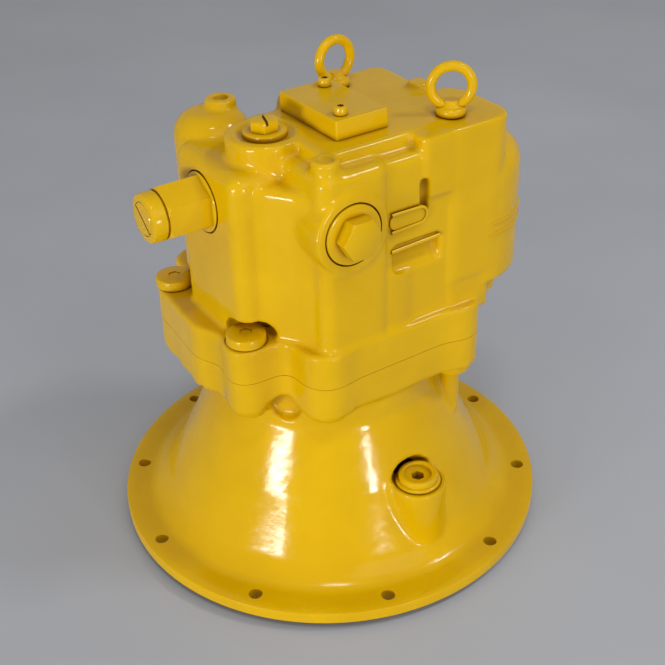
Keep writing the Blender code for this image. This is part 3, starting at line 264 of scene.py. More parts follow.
def sweep(points, up, radius, sides=12):
    """Round wire along the points; up is a direction that the wire never runs along."""
    bm = bmesh.new()
    rings = []
    for i, point in enumerate(points):
        before, after = points[max(i - 1, 0)], points[min(i + 1, len(points) - 1)]
        along = (Vector(after) - Vector(before)).normalized()
        aside = along.cross(up).normalized()
        above = aside.cross(along)
        rings.append([bm.verts.new((Vector(point) + u * aside + v * above) * MM)
                      for u, v in circle(radius, sides)])
    for low, high in zip(rings, rings[1:]):
        for i in range(sides):
            j = (i + 1) % sides
            bm.faces.new((low[i], low[j], high[j], high[i]))
    bm.faces.new(rings[0])
    bm.faces.new(rings[-1])
    bmesh.ops.recalc_face_normals(bm, faces=bm.faces)
    return bm


def coil(mean_r, wire_r, z0, z1, turns, steps=24):
    """Compression spring between two heights; its end turns lie flat."""
    points = []
    low, high = z0 + wire_r, z1 - wire_r
    pitch = (high - low - 4 * wire_r) / (turns - 2)
    for i in range(int(turns * steps) + 1):
        turn = i / steps
        height = low + 2 * wire_r * min(turn, 1) + pitch * min(max(turn - 1, 0), turns - 2)
        height += 2 * wire_r * max(turn - turns + 1, 0)
        points.append((mean_r * cos(2 * pi * turn), mean_r * sin(2 * pi * turn), height))
    return sweep(points, Vector((0, 0, 1)), wire_r)


def at(x=0.0, y=0.0, z=0.0):
    return Matrix.Translation((x * MM, y * MM, z * MM))


def placed(bm, matrix):
    bmesh.ops.transform(bm, matrix=matrix, verts=bm.verts)
    return bm


def loose_object(bm, name="piece"):
    mesh = bpy.data.meshes.new(name)
    bm.to_mesh(mesh)
    bm.free()
    piece = bpy.data.objects.new(name, mesh)
    bpy.context.scene.collection.objects.link(piece)
    return piece


def result_of(piece):
    """Mesh of a loose object with its modifiers applied; the object goes."""
    bpy.context.view_layer.update()
    graph = bpy.context.evaluated_depsgraph_get()
    mesh = bpy.data.meshes.new_from_object(piece.evaluated_get(graph))
    bm = bmesh.new()
    bm.from_mesh(mesh)
    bpy.data.meshes.remove(mesh)
    own = piece.data
    bpy.data.objects.remove(piece)
    bpy.data.meshes.remove(own)
    return bm


def boolean(base, tools, operation):
    """Base mesh joined with the tools, cut by them or kept only inside them, one after the other."""
    for tool in tools:
        holder = loose_object(base)
        helper = loose_object(tool)
        modifier = holder.modifiers.new("boolean", "BOOLEAN")
        modifier.object = helper
        modifier.operation = operation
        modifier.solver = "MANIFOLD"
        base = result_of(holder)
        mesh = helper.data
        bpy.data.objects.remove(helper)
        bpy.data.meshes.remove(mesh)
    return base


def join(base, *tools):
    return boolean(base, tools, "UNION")


def cut(base, *tools):
    return boolean(base, tools, "DIFFERENCE")


def remeshed(bm, voxel, passes=0):
    """One even skin round all the forms in the mesh, smoothed in that many passes."""
    piece = loose_object(bm)
    remesh = piece.modifiers.new("remesh", "REMESH")
    remesh.mode = "VOXEL"
    remesh.voxel_size = voxel * MM
    smooth = piece.modifiers.new("smooth", "SMOOTH")
    smooth.factor = 0.5
    smooth.iterations = passes
    return result_of(piece)


def cast(forms, carvings, voxel, passes):
    """Casting of overlapping closed forms less its carvings, with all its corners and joints rounded."""
    merged = bmesh.new()
    for form in forms:
        mesh = bpy.data.meshes.new("form")
        form.to_mesh(mesh)
        form.free()
        merged.from_mesh(mesh)
        bpy.data.meshes.remove(mesh)
    return remeshed(cut(remeshed(merged, voxel), *carvings), voxel, passes)


# Finishes

class Finish:
    """Node material built from noise at several scales, in the frame's own coordinates."""

    def __init__(self, name, **uniform):
        self.material = bpy.data.materials.new("finish_" + name)
        self.material.use_nodes = True
        self.nodes = self.material.node_tree.nodes
        self.links = self.material.node_tree.links
        self.shader = self.nodes["Principled BSDF"]
        self.space = self.nodes.new("ShaderNodeTexCoord").outputs["Object"]
        self.normal = None
        for socket, value in uniform.items():
            self.shader.inputs[socket.replace("_", " ")].default_value = value

    def noise(self, scale, detail, stretch=None):
        texture = self.nodes.new("ShaderNodeTexNoise")
        texture.inputs["Scale"].default_value = scale
        texture.inputs["Detail"].default_value = detail
        space = self.space
        if stretch:
            mapping = self.nodes.new("ShaderNodeMapping")
            mapping.inputs["Scale"].default_value = stretch
            self.links.new(space, mapping.inputs["Vector"])
            space = mapping.outputs["Vector"]
        self.links.new(space, texture.inputs["Vector"])
        return texture.outputs["Fac"]

    def ramp(self, value, *stops):
        ramp = self.nodes.new("ShaderNodeValToRGB")
        while len(ramp.color_ramp.elements) < len(stops):
            ramp.color_ramp.elements.new(0.5)
        for element, (place, colour) in zip(ramp.color_ramp.elements, stops):
            element.position = place
            element.color = (*colour, 1)
        self.links.new(value, ramp.inputs["Fac"])
        return ramp.outputs["Color"]

    def spread(self, value, low, high):
        """The middle of a noise spread over a range."""
        mapped = self.nodes.new("ShaderNodeMapRange")
        mapped.inputs["From Min"].default_value = 0.3
        mapped.inputs["From Max"].default_value = 0.7
        mapped.inputs["To Min"].default_value = low
        mapped.inputs["To Max"].default_value = high
        self.links.new(value, mapped.inputs["Value"])
        return mapped.outputs["Result"]

    def painted_crevice_shade(self, value, shade_tint, reach):
        """Painted shade: the colour goes to a dark orange-brown shade colour where other surfaces stand close,
        within reach in metres.
        """
        near = self.nodes.new("ShaderNodeAmbientOcclusion")
        near.samples = 8
        near.inputs["Distance"].default_value = reach
        mapped = self.nodes.new("ShaderNodeMapRange")
        mapped.inputs["From Min"].default_value = 0.3
        mapped.inputs["From Max"].default_value = 0.8
        self.links.new(near.outputs["AO"], mapped.inputs["Value"])
        mix = self.nodes.new("ShaderNodeMixRGB")
        mix.inputs["Color1"].default_value = (*shade_tint, 1)
        self.links.new(mapped.outputs["Result"], mix.inputs["Fac"])
        self.links.new(value, mix.inputs["Color2"])
        return mix.outputs["Color"]

    def colour(self, value):
        self.links.new(value, self.shader.inputs["Base Color"])

    def roughness(self, value):
        self.links.new(value, self.shader.inputs["Roughness"])

    def bump(self, value, height):
        """Relief of that height in millimetres, laid over the relief so far."""
        bump = self.nodes.new("ShaderNodeBump")
        bump.inputs["Distance"].default_value = height * MM
        self.links.new(value, bump.inputs["Height"])
        if self.normal is not None:
            self.links.new(self.normal, bump.inputs["Normal"])
        self.normal = bump.outputs["Normal"]
        self.links.new(self.normal, self.shader.inputs["Normal"])


def yellow_paint():
    """Thick glossy enamel, a little uneven, with orange peel and the casting's waves under it, and painted
    shade in its hollows and seams.
    """
    paint = Finish("yellow_paint", Specular_IOR_Level=0.26)
    coat = paint.ramp(paint.noise(22, 4), (0.3, (0.69, 0.405, 0.001)), (0.55, (0.73, 0.435, 0.001)),
                      (0.75, (0.77, 0.465, 0.002)))
    # Painted shade: the paint goes dark orange-brown in hollows, seams and holes, within 8 mm of other
    # surfaces.
    paint.colour(paint.painted_crevice_shade(coat, (0.2, 0.06, 0.001), 0.008))
    paint.roughness(paint.spread(paint.noise(60, 4), 0.1, 0.2))
    paint.bump(paint.noise(45, 2), 0.35)
    paint.bump(paint.noise(160, 3), 0.1)
    paint.bump(paint.noise(700, 2), 0.02)
    return paint.material


def machined_steel():
    steel = Finish("machined_steel", Metallic=1.0)
    steel.colour(steel.ramp(steel.noise(30, 4), (0.35, (0.46, 0.46, 0.47)), (0.65, (0.60, 0.60, 0.61))))
    steel.roughness(steel.spread(steel.noise(1, 5, (20, 20, 900)), 0.22, 0.42))
    steel.bump(steel.noise(1, 3, (30, 30, 1500)), 0.01)
    return steel.material


def dark_steel():
    steel = Finish("dark_steel", Metallic=1.0)
    steel.colour(steel.ramp(steel.noise(60, 4), (0.35, (0.14, 0.14, 0.15)), (0.65, (0.26, 0.26, 0.27))))
    steel.roughness(steel.spread(steel.noise(200, 4), 0.3, 0.5))
    steel.bump(steel.noise(500, 3), 0.02)
    return steel.material


def bronze():
    metal = Finish("bronze", Metallic=1.0)
    metal.colour(metal.ramp(metal.noise(45, 4), (0.35, (0.50, 0.32, 0.13)), (0.65, (0.66, 0.47, 0.24))))
    metal.roughness(metal.spread(metal.noise(150, 4), 0.28, 0.45))
    metal.bump(metal.noise(600, 3), 0.015)
    return metal.material


def rubber():
    skin = Finish("rubber")
    skin.colour(skin.ramp(skin.noise(90, 4), (0.35, (0.018, 0.018, 0.019)), (0.65, (0.04, 0.04, 0.042))))
    skin.roughness(skin.spread(skin.noise(250, 3), 0.55, 0.75))
    skin.bump(skin.noise(700, 3), 0.03)
    return skin.material


def friction_lining():
    lining = Finish("friction_lining")
    lining.colour(lining.ramp(lining.noise(900, 3), (0.35, (0.12, 0.075, 0.045)), (0.65, (0.28, 0.19, 0.12))))
    lining.roughness(lining.spread(lining.noise(400, 3), 0.75, 0.9))
    lining.bump(lining.noise(800, 3), 0.08)
    return lining.material


FINISHES = {"yellow_paint": yellow_paint(), "machined_steel": machined_steel(), "dark_steel": dark_steel(),
            "bronze": bronze(), "rubber": rubber(), "friction_lining": friction_lining()}


# Pieces

def dress(name, bm, slot, body, *nodes, sharp=35):
    """Finished piece that rides on the body and stands for the nodes."""
    piece = loose_object(bm, name)
    piece.data.materials.append(FINISHES[slot])
    piece.data.shade_smooth()
    piece.data.set_sharp_from_angle(angle=radians(sharp))
    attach(piece, body)
    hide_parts(*nodes)
    return piece


# Castings

def lobed_outline(steps=360, spread=3):
    """Outline of both castings at their joint: a circle, bolt lobes and flat sides, flowing together."""
    lobes = [(x, y, lobe_r) for (x, y), lobe_r in zip(BOLT_PLACES, LOBE_RADII)]
    lobes += SIDE_LOBES
    radii = []
    for i in range(steps):
        angle = 2 * pi * i / steps
        out = Vector((cos(angle), sin(angle)))
        radius = HEAD_BASE_R
        for x, y, lobe_r in lobes:
            along = x * out.x + y * out.y
            aside = abs(x * out.y - y * out.x)
            if along > 0 and aside < lobe_r:
                radius = max(radius, along + sqrt(lobe_r ** 2 - aside ** 2))
        for start, end in FLAT_SIDES:
            start, end = Vector(start), Vector(end)
            slant = out.cross(end - start)
            ahead = start.cross(end - start) / slant if slant else 0
            if ahead > 0 and (ahead * out - start).dot(ahead * out - end) < 0:
                radius = max(radius, ahead)
        radii.append(radius)
    for _ in range(2):
        radii = [sum(radii[(i + k) % steps] for k in range(-spread, spread + 1)) / (2 * spread + 1)
                 for i in range(steps)]
    return [(radius * cos(2 * pi * i / steps), radius * sin(2 * pi * i / steps))
            for i, radius in enumerate(radii)]


def upright(x, y, radius, z0, z1, steps=ROUND):
    return bar(radius, (x, y, z0), (x, y, z1), steps)


def slab(z0, z1):
    """Wide block that trims a casting at a joint face."""
    return prism([(-300, -300), (300, -300), (300, 300), (-300, 300)], z0, z1)


def bell_cavity():
    """Cutter of the open cone under the hub, and of the hollow round the hub."""
    return turned_solid([(138, -1), (138, 0), (101, CEILING_Z - 6), (98, CEILING_Z - 1.5), (94, CEILING_Z),
                         (66, CEILING_Z), (63, CEILING_Z - 1.5), (62, CEILING_Z - 5), (62, HUB_Z + 8),
                         (56, HUB_Z)], WIDE_ROUND)


def bell_bores():
    """Cutter of the seal, bearing, case and brake bores."""
    ledge_z = SEAM_Z - BRAKE_BORE_DEPTH
    return turned_solid([(SHAFT_HOLE_R, HUB_Z - 1), (SHAFT_HOLE_R, HUB_Z + 6), (SEAL_BORE_R, HUB_Z + 6),
                         (SEAL_BORE_R, BEARING_Z), (BEARING_BORE_R, BEARING_Z),
                         (BEARING_BORE_R, CASE_FLOOR_Z), (CASE_BORE_R, CASE_FLOOR_Z), (CASE_BORE_R, ledge_z),
                         (BRAKE_BORE_R, ledge_z), (BRAKE_BORE_R, SEAM_Z + 1)], WIDE_ROUND)


def bell_forms():
    """Flared cone with its neck, the lobed upper flange, and the feet and lugs under it."""
    foot = FLANGE_Z + FLANGE_T + 2
    shoulder = foot + CONE_H
    neck_r = NECK_R - 1.5
    cone = turned_solid([(FLANGE_R - 4, FLANGE_Z + 0.5), (FLANGE_R - 4, foot - 2),
                         (CONE_FOOT_R + 11, foot - 2), (CONE_FOOT_R + 6, foot + 0.5),
                         (CONE_FOOT_R + 1, foot + 4.5), (CONE_FOOT_R - 5, foot + 11),
                         (CONE_WAIST_R, foot + 58), (CONE_TOP_R - 2, shoulder - 2),
                         (neck_r, shoulder + 6), (neck_r, SEAM_Z + 8)], WIDE_ROUND)
    forms = [cone, prism(lobed_outline(), SEAM_Z - HEAD_T, SEAM_Z + 12)]
    lobes = [(x, y, lobe_r) for (x, y), lobe_r in zip(BOLT_PLACES, LOBE_RADII)]
    del lobes[UPTURNED_BOLT]
    for x, y, lobe_r in lobes + [SIDE_LOBES[0]]:
        lobe_foot = turned_solid([(lobe_r - 12, -LOBE_FOOT - 5), (lobe_r - 6, -LOBE_FOOT),
                                  (lobe_r - 1, -LOBE_FOOT + 7), (lobe_r - 1, 20)], 48)
        forms.append(placed(lobe_foot, at(x, y, SEAM_Z - HEAD_T)))
    forms.append(prism(rounded_rectangle(*LUG_X, *LUG_Y, 7), FLANGE_Z + 88, FLANGE_Z + 150))
    forms.append(upright(*DRAIN_XY, DRAIN_BOSS_R, FLANGE_Z + 4, DRAIN_TOP_Z, 48))
    return forms


def bell_carvings():
    """Notch over the drain boss, and the arch recess between two lobes."""
    radius = DRAIN_NOTCH_R
    notch = turned_solid([(radius, -2), (radius, 3), (radius - 3, 9), (10, 14), (1, 17)], 48)
    turn = radians(ARCH_AZIMUTH)
    start, end = [(r * cos(turn), r * sin(turn), FLANGE_Z + ARCH_H) for r in (ARCH_DEPTH_R, 135)]
    return [placed(notch, at(*DRAIN_XY, DRAIN_TOP_Z)), bar(ARCH_R, start, end, 32)]


def flange_rim():
    """Turned edge of the mounting flange, with the pilot spigot under it."""
    flange_top = FLANGE_Z + FLANGE_T
    return turned_solid([(SPIGOT_R, 0), (SPIGOT_R, FLANGE_Z), (FLANGE_R - 0.6, FLANGE_Z),
                         (FLANGE_R, FLANGE_Z + 0.6), (FLANGE_R, flange_top - 1.6),
                         (FLANGE_R - 0.5, flange_top - 0.5), (FLANGE_R - 1.6, flange_top),
                         (CONE_FOOT_R + 12.5, flange_top), (CONE_FOOT_R + 12, flange_top - 0.6),
                         (CONE_FOOT_R - 20, flange_top - 0.6)], WIDE_ROUND)


def ring_groove():
    inner, outer = RING_GROOVE_R
    low = SEAM_Z - RING_GROOVE_DEPTH
    return lathe([(inner, low), (outer, low), (outer, SEAM_Z + 1), (inner, SEAM_Z + 1)], WIDE_ROUND)


def bell_housing():
    body = cast(bell_forms(), bell_carvings(), 2.0, 4)
    body = join(cut(body, slab(SEAM_Z, SEAM_Z + 40)), flange_rim())
    cutters = [bell_cavity(), bell_bores(), ring_groove()]
    for x, y in circle(FLANGE_HOLE_PCR, FLANGE_HOLES):
        cutters.append(upright(x, y, FLANGE_HOLE_R, FLANGE_Z - 2, FLANGE_Z + FLANGE_T + 2, 32))
    for number, (x, y) in enumerate(BOLT_PLACES):
        depth = BOLT_GRIP
        if number == UPTURNED_BOLT:
            depth = HEAD_T
            seat = SEAM_Z - HEAD_T
            cutters.append(upright(x, y, BOLT_HEAD_R + 1, seat - BOLT_HEAD_H - 4, seat))
        cutters.append(upright(x, y, BOLT_SHANK_R + 1, SEAM_Z - depth - 2, SEAM_Z + 2, 32))
    cutters.append(upright(*DRAIN_XY, DRAIN_COLLAR_R + 1, DRAIN_TOP_Z - DRAIN_SINK, DRAIN_TOP_Z + 6))
    cutters.append(upright(*DRAIN_XY, DRAIN_THREAD_R + 2 * GAP, DRAIN_TOP_Z - 24, DRAIN_TOP_Z, 32))
    dress("bell_casting", cut(body, *cutters), "yellow_paint", "housing", "bell_housing", sharp=40)


def block(x0, x1, y0, y1, z0, z1, radius, crown):
    """Block with round corners; its heights start from the flange's underside."""
    return prism(rounded_rectangle(x0, x1, y0, y1, radius), FLANGE_Z + z0, FLANGE_Z + z1, crown)


def post(x, y, radius, z0, z1, crown):
    """Round column; its heights start from the flange's underside."""
    return prism(circle(radius, 48, (x, y)), FLANGE_Z + z0, FLANGE_Z + z1, crown, 6)


def across(y, x0, x1, radius, steps=ROUND):
    """Bar from left to right at the height of the relief valves."""
    return bar(radius, (x0, y, RELIEF_Z), (x1, y, RELIEF_Z), steps)


def inward(x, y0, y1, radius, steps=ROUND):
    """Bar from front to rear at the height of the check valves."""
    return bar(radius, (x, y0, CHECK_Z), (x, y1, CHECK_Z), steps)


def port_pad(side):
    start = (side * PORT_X, PORT_FACE_Y - 50, PORT_Z)
    return bar(PORT_PAD_R, start, (side * PORT_X, PORT_FACE_Y + PORT_PAD_PROUD, PORT_Z), 48)


def casing_forms():
    """Forms of the valve casing: x and y ranges or centre, then heights, corner radius and top round."""
    valley = [(-92, -40), (-78, -52), (-66, -68), (-59, -84), (-30, -84), (-30, -40)]
    return [
        prism(lobed_outline(), CASING_Z - 12, CASING_FLANGE_Z),
        post(0, 0, BARREL_R, 180, 254, 8),
        block(-100, -30, -46, 44, 180, TOP - 16, 12, 10),
        post(*TOP_PLUG_XY, 29, 180, TOP + 1.2, 3),
        block(-60, -2, -95, -10, 180, 337, 10, 6),
        prism(valley, FLANGE_Z + 180, FLANGE_Z + 322, 8),
        post(*COLUMN_BOSS, 10, 320, 347.5, 2),
        block(-20, 60, -91, -11, 180, 335, 6, 5),
        block(-46, 91, -78, 16, 230, TOP, 10, 3),
        block(10, 92, 5, 50, 229, TOP - 0.3, 10, 4),
        block(27, 70, -93.4, -40, 299, TOP - 0.8, 5, 1.5),
        block(43, 111, -94, -20, 222, TOP - 0.5, 18, 1.5),
        post(*RIGHT_POST, 210, 318, 22),
        block(48, 98, -92.5, 2, 189, 226, 10, 4),
        post(113, -47, 21, 181, 228, 0),
        post(84, -12, 9, 338, 351, 1.5),
        block(-58, 60, -20, REAR_WALL_Y - 1, 180, 315, 16, 10),
        block(13, 94, -18, REAR_WALL_Y, 180, 330.5, 14, 12),
        post(-61, 53, 29, 180, 343, 18),
        post(*LOBE_BOSS, 12, 321, 349.5, 2),
        block(61, 100, -21, 60, 236, 324, 12, 8),
        inward(-CHECK_X, CASING_WALL_Y + 40, CASING_WALL_Y - 2, CHECK_BOSS_R, 48),
        port_pad(-1),
        port_pad(1),
    ]


def valve_bores(side):
    """Cutters for the relief valve and check valve of one side: -1 is left and front, 1 right and rear."""
    wall = -CASING_LEFT_X
    y = RELIEF_Y[side]
    cutters = [across(y, side * (wall - COLLAR_CUT), side * (wall + 50), RELIEF_COLLAR_R + SEAM_WIDTH),
               across(y, side * (wall - 40), side * wall, RELIEF_THREAD_R + 2 * GAP)]
    wall = -CASING_WALL_Y if side < 0 else REAR_WALL_Y
    x = side * CHECK_X
    cutters += [inward(x, side * (wall - COLLAR_CUT), side * (wall + 20), CHECK_DISC_R + SEAM_WIDTH),
                inward(x, side * (wall - 50), side * wall, CHECK_THREAD_R + GAP)]
    start = (side * PORT_X, PORT_FACE_Y - 28, PORT_Z)
    cutters.append(bar(PORT_R, start, (side * PORT_X, PORT_FACE_Y + 4, PORT_Z)))
    return cutters


def wall_pad():
    """Low raised pad on the front wall."""
    low, high = PAD_H
    half = (high - low) / 2
    pad = prism(rounded_rectangle(*PAD_X, -half, half, 6), -8, 0, 1)
    middle = FLANGE_Z + (low + high) / 2
    return placed(pad, at(0, -92.6, middle) @ Matrix.Rotation(pi / 2, 4, "X"))


def front_pocket():
    """Sloping pocket in the front wall, deeper at its top."""
    pocket = prism(rounded_rectangle(*POCKET_X, -POCKET_HALF_H, POCKET_HALF_H, 3), 0, 14)
    slope = Matrix.Rotation(radians(-POCKET_SLOPE), 4, "X")
    return placed(pocket, at(0, -84.5, FLANGE_Z + POCKET_MIDDLE_H) @ slope @ Matrix.Rotation(pi / 2, 4, "X"))


def side_slot():
    """Narrow upright recess beside the right block."""
    slot = prism(rounded_rectangle(*SLOT_X, *SLOT_H, 3), 0, 14)
    return placed(slot, at(0, -86, FLANGE_Z) @ Matrix.Rotation(pi / 2, 4, "X"))


def bead(points, y, radius):
    """Round bead along points (x, height) on the front wall."""
    return sweep([(x, y, FLANGE_Z + z) for x, z in points], Vector((0, 1, 0)), radius)


def wall_beads():
    """Bead round the D-shaped pad, and the bead along the ledge over the pocket."""
    turn = [(24 + 6.3 * sin(radians(15 * i)), 288.5 + 6.3 * cos(radians(15 * i))) for i in range(13)]
    rim = bead([(-1, 295.2)] + turn + [(-1, 281.4)], -93, PAD_BEAD_R)
    ledge = bead([(0, 265), (43.5, 266)], -91.2, LEDGE_BEAD_R)
    return [rim, ledge]


def right_rims():
    """Two low rims round the post of the right block."""
    x, y, radius = RIGHT_POST
    profile = [(40, -1.3), (radius - 0.5, -1.3), (radius + 1, -0.5), (radius + 1, 0.5), (radius - 0.5, 1.3),
               (40, 1.3)]
    return [placed(turned_solid(profile, WIDE_ROUND), at(x, y, FLANGE_Z + height)) for height in RIGHT_RIMS]


def casing_recesses():
    """Recesses that the sand core leaves: pocket, slot, plug seat, boss dimples and bolt recesses."""
    recesses = [front_pocket(), side_slot(),
                upright(*TOP_PLUG_XY, TOP_SPOT_R - 1, TOP_Z - TOP_PLUG_SINK, TOP_Z + 4)]
    recesses += [upright(x, y, 6, TOP_Z - 2, TOP_Z + 6, 48) for x, y in (LOBE_BOSS, COLUMN_BOSS)]
    for number, (x, y) in enumerate(BOLT_PLACES):
        if number != UPTURNED_BOLT:
            recess = turned_solid([(SPOT_FACE_R, 0), (SPOT_FACE_R, 5), (SPOT_FACE_R - 2, 9),
                                   (SPOT_FACE_R - 7, 13), (SPOT_FACE_R - 14, 15)])
            recesses.append(placed(recess, at(x, y, CASING_FLANGE_Z)))
    return recesses


def valve_casing():
    body = cast(casing_forms(), casing_recesses(), 1.6, 4)
    body = cut(body, slab(CASING_Z - 40, CASING_Z))
    body = join(body, wall_pad(), *wall_beads(), *right_rims())
    cutters = [upright(0, 0, BRAKE_BORE_R, CASING_Z - 1, PORT_FACE_Z, WIDE_ROUND)]
    for number, (x, y) in enumerate(BOLT_PLACES):
        top = CASING_FLANGE_Z + 1
        if number == UPTURNED_BOLT:
            top = CASING_Z + BOLT_GRIP + 1
        else:
            low = CASING_FLANGE_Z - SPOT_FACE_DEPTH
            cutters.append(upright(x, y, BOLT_HEAD_R + 1.5, low, low + 6))
        cutters.append(upright(x, y, BOLT_SHANK_R + 1, CASING_Z - 1, top, 32))
    for x, y in COVER_SCREWS:
        cutters.append(upright(x, y, COVER_SCREW_HOLE_R, TOP_Z - 14, TOP_Z + 3, 24))
    for (x, y), _ in EYE_PLACES.values():
        cutters.append(upright(x, y, EYE_THREAD_R + GAP, TOP_Z - 16, TOP_Z + 3, 24))
        cutters.append(upright(x, y, EYE_COLLAR_R + 1, TOP_Z, TOP_Z + 3))
    cover_seat = rounded_rectangle(COVER_X[0] - 1, COVER_X[1] + 1, COVER_Y[0] - 1, COVER_Y[1] + 1, 3)
    cutters.append(prism(cover_seat, TOP_Z, TOP_Z + 10))
    cutters.append(upright(*TOP_PLUG_XY, TOP_PLUG_COLLAR_R + 1, TOP_Z - TOP_PLUG_SINK, TOP_Z + 4))
    cutters.append(upright(*TOP_PLUG_XY, TOP_PLUG_THREAD_R + GAP, TOP_Z - 20, TOP_Z, 48))
    for side in (-1, 1):
        cutters += valve_bores(side)
    behind = [(-90, PORT_FACE_Y), (90, PORT_FACE_Y), (90, PORT_FACE_Y + 20), (-90, PORT_FACE_Y + 20)]
    cutters.append(prism(behind, PORT_Z - 40, PORT_Z + 40))
    dress("casing_casting", cut(body, *cutters), "yellow_paint", "housing", "valve_casing", sharp=40)


# Fittings

def casing_bolts():
    seat_z = CASING_FLANGE_Z - SPOT_FACE_DEPTH + GAP
    reach = seat_z - SEAM_Z + BOLT_GRIP
    for number, (x, y) in enumerate(BOLT_PLACES):
        place = at(x, y, seat_z)
        if number == UPTURNED_BOLT:
            place = at(x, y, SEAM_Z - HEAD_T - GAP) @ Matrix.Rotation(pi, 4, "X")
        bolt = turned_solid([(BOLT_SHANK_R, -reach), (BOLT_SHANK_R, 0), (BOLT_HEAD_R - 0.4, 0),
                             (BOLT_HEAD_R, 0.4), (BOLT_HEAD_R, BOLT_HEAD_H - 1.4),
                             (BOLT_HEAD_R - 0.5, BOLT_HEAD_H - 0.5), (BOLT_HEAD_R - 1.6, BOLT_HEAD_H)])
        socket = prism(circle(5.2, 6), BOLT_HEAD_H - 0.9, BOLT_HEAD_H + 1)
        name = "casing_bolt_%d" % (number + 1)
        dress(name + "_fine", placed(cut(bolt, socket), place), "yellow_paint", "housing", name)


def eyebolts():
    for name, ((x, y), facing) in EYE_PLACES.items():
        base = turned_solid([(EYE_THREAD_R, -14), (EYE_THREAD_R, 0), (EYE_COLLAR_R - 0.5, 0),
                             (EYE_COLLAR_R, 0.5), (EYE_COLLAR_R, EYE_COLLAR_H - 2),
                             (EYE_COLLAR_R - 0.6, EYE_COLLAR_H - 0.8), (EYE_COLLAR_R - 2, EYE_COLLAR_H),
                             (7.5, EYE_COLLAR_H + 0.6), (6.2, EYE_COLLAR_H + 2),
                             (5.4, EYE_COLLAR_H + 5)], 48)
        wire = circle(EYE_WIRE_R, 24, (EYE_RING_R, 0))
        ring = placed(lathe(wire, 72), at(0, 0, EYE_COLLAR_H + EYE_RING_R) @ Matrix.Rotation(pi / 2, 4, "X"))
        eye = placed(join(base, ring), at(x, y, TOP_Z + GAP) @ Matrix.Rotation(radians(facing), 4, "Z"))
        dress(name + "_fine", eye, "yellow_paint", "housing", name, sharp=50)


def top_cover():
    z = TOP_Z + GAP
    plate = prism(rounded_rectangle(*COVER_X, *COVER_Y, 1.6), z, z + COVER_T, 0.9)
    holes = [upright(x, y, COVER_SCREW_HOLE_R, z - 1, z + COVER_T + 1, 24) for x, y in COVER_SCREWS]
    dress("top_cover_fine", cut(plate, *holes), "yellow_paint", "housing", "top_cover")
    for number, (x, y) in enumerate(COVER_SCREWS, 1):
        screw = turned_solid([(2.8, -26), (2.8, 0), (4.6, 0), (4.8, 0.2), (4.8, 5.2), (4.5, 5.8), (4, 6)], 40)
        screw = cut(screw, prism(circle(2.5, 6), 3.8, 7))
        name = "cover_screw_%d" % number
        dress(name + "_fine", placed(screw, at(x, y, z + COVER_T + GAP)), "yellow_paint", "housing", name)


def hex_head(radius, z0, z1):
    """Hexagon with its outer corners turned off."""
    head = prism(circle(radius, 6), z0, z1)
    trim = turned_solid([(radius, z0 - 1), (radius, z1 - 2), (radius - 0.8, z1 - 1), (radius - 2.5, z1),
                         (radius - 2.6, z1 + 0.01)])
    return boolean(head, [trim], "INTERSECT")


def slot_cutter(radius, width, z0, z1, turn):
    outline = [(-radius, -width / 2), (radius, -width / 2), (radius, width / 2), (-radius, width / 2)]
    return placed(prism(outline, z0, z1), Matrix.Rotation(radians(turn), 4, "Z"))


def plugs():
    thread_r, collar_r = TOP_PLUG_THREAD_R, TOP_PLUG_COLLAR_R
    body = turned_solid([(thread_r, -16), (thread_r, 0), (collar_r, 0), (collar_r, 3), (collar_r - 0.3, 3.7),
                         (collar_r - 1, 4)])
    plug = cut(join(body, hex_head(11, 3, 12)), slot_cutter(12, 2, 9.5, 13, 72))
    place = at(*TOP_PLUG_XY, TOP_Z - TOP_PLUG_SINK + GAP)
    dress("top_plug_fine", placed(plug, place), "yellow_paint", "housing", "top_plug")
    body = turned_solid([(DRAIN_THREAD_R, -20), (DRAIN_THREAD_R, 0), (DRAIN_COLLAR_R - 0.3, 0),
                         (DRAIN_COLLAR_R, 0.3), (DRAIN_COLLAR_R, 1.6), (DRAIN_COLLAR_R - 0.8, 2.4),
                         (DRAIN_HEAD_R, 2.8), (DRAIN_HEAD_R, 6.6), (DRAIN_HEAD_R - 0.5, 7.5),
                         (DRAIN_HEAD_R - 1.5, 8), (12, 8), (11, 7.4), (10.5, 5), (9.5, 4.4)])
    plug = cut(body, prism(circle(5.4, 6), -2, 6))
    place = at(*DRAIN_XY, DRAIN_TOP_Z - DRAIN_SINK + GAP)
    dress("drain_plug_fine", placed(plug, place), "yellow_paint", "housing", "drain_plug")


def check_plug(side, where):
    wall = -CASING_WALL_Y if side < 0 else REAR_WALL_Y
    seat = GAP - CHECK_SEAT
    face = seat + CHECK_DISC_T
    body = turned_solid([(CHECK_THREAD_R, -26), (CHECK_THREAD_R, seat), (CHECK_DISC_R, seat),
                         (CHECK_DISC_R, face - 1.2), (CHECK_DISC_R - 0.4, face - 0.4),
                         (CHECK_DISC_R - 1.2, face)], 96)
    body = join(body, hex_head(CHECK_HEX_R, face - 1, face + CHECK_HEX_H))
    body = cut(body, prism(circle(11, 48), -27, -7))
    place = at(side * CHECK_X, side * wall, CHECK_Z) @ Matrix.Rotation(-side * pi / 2, 4, "X")
    name = "check_plug_" + where
    dress(name + "_fine", placed(body, place), "yellow_paint", "housing", name)


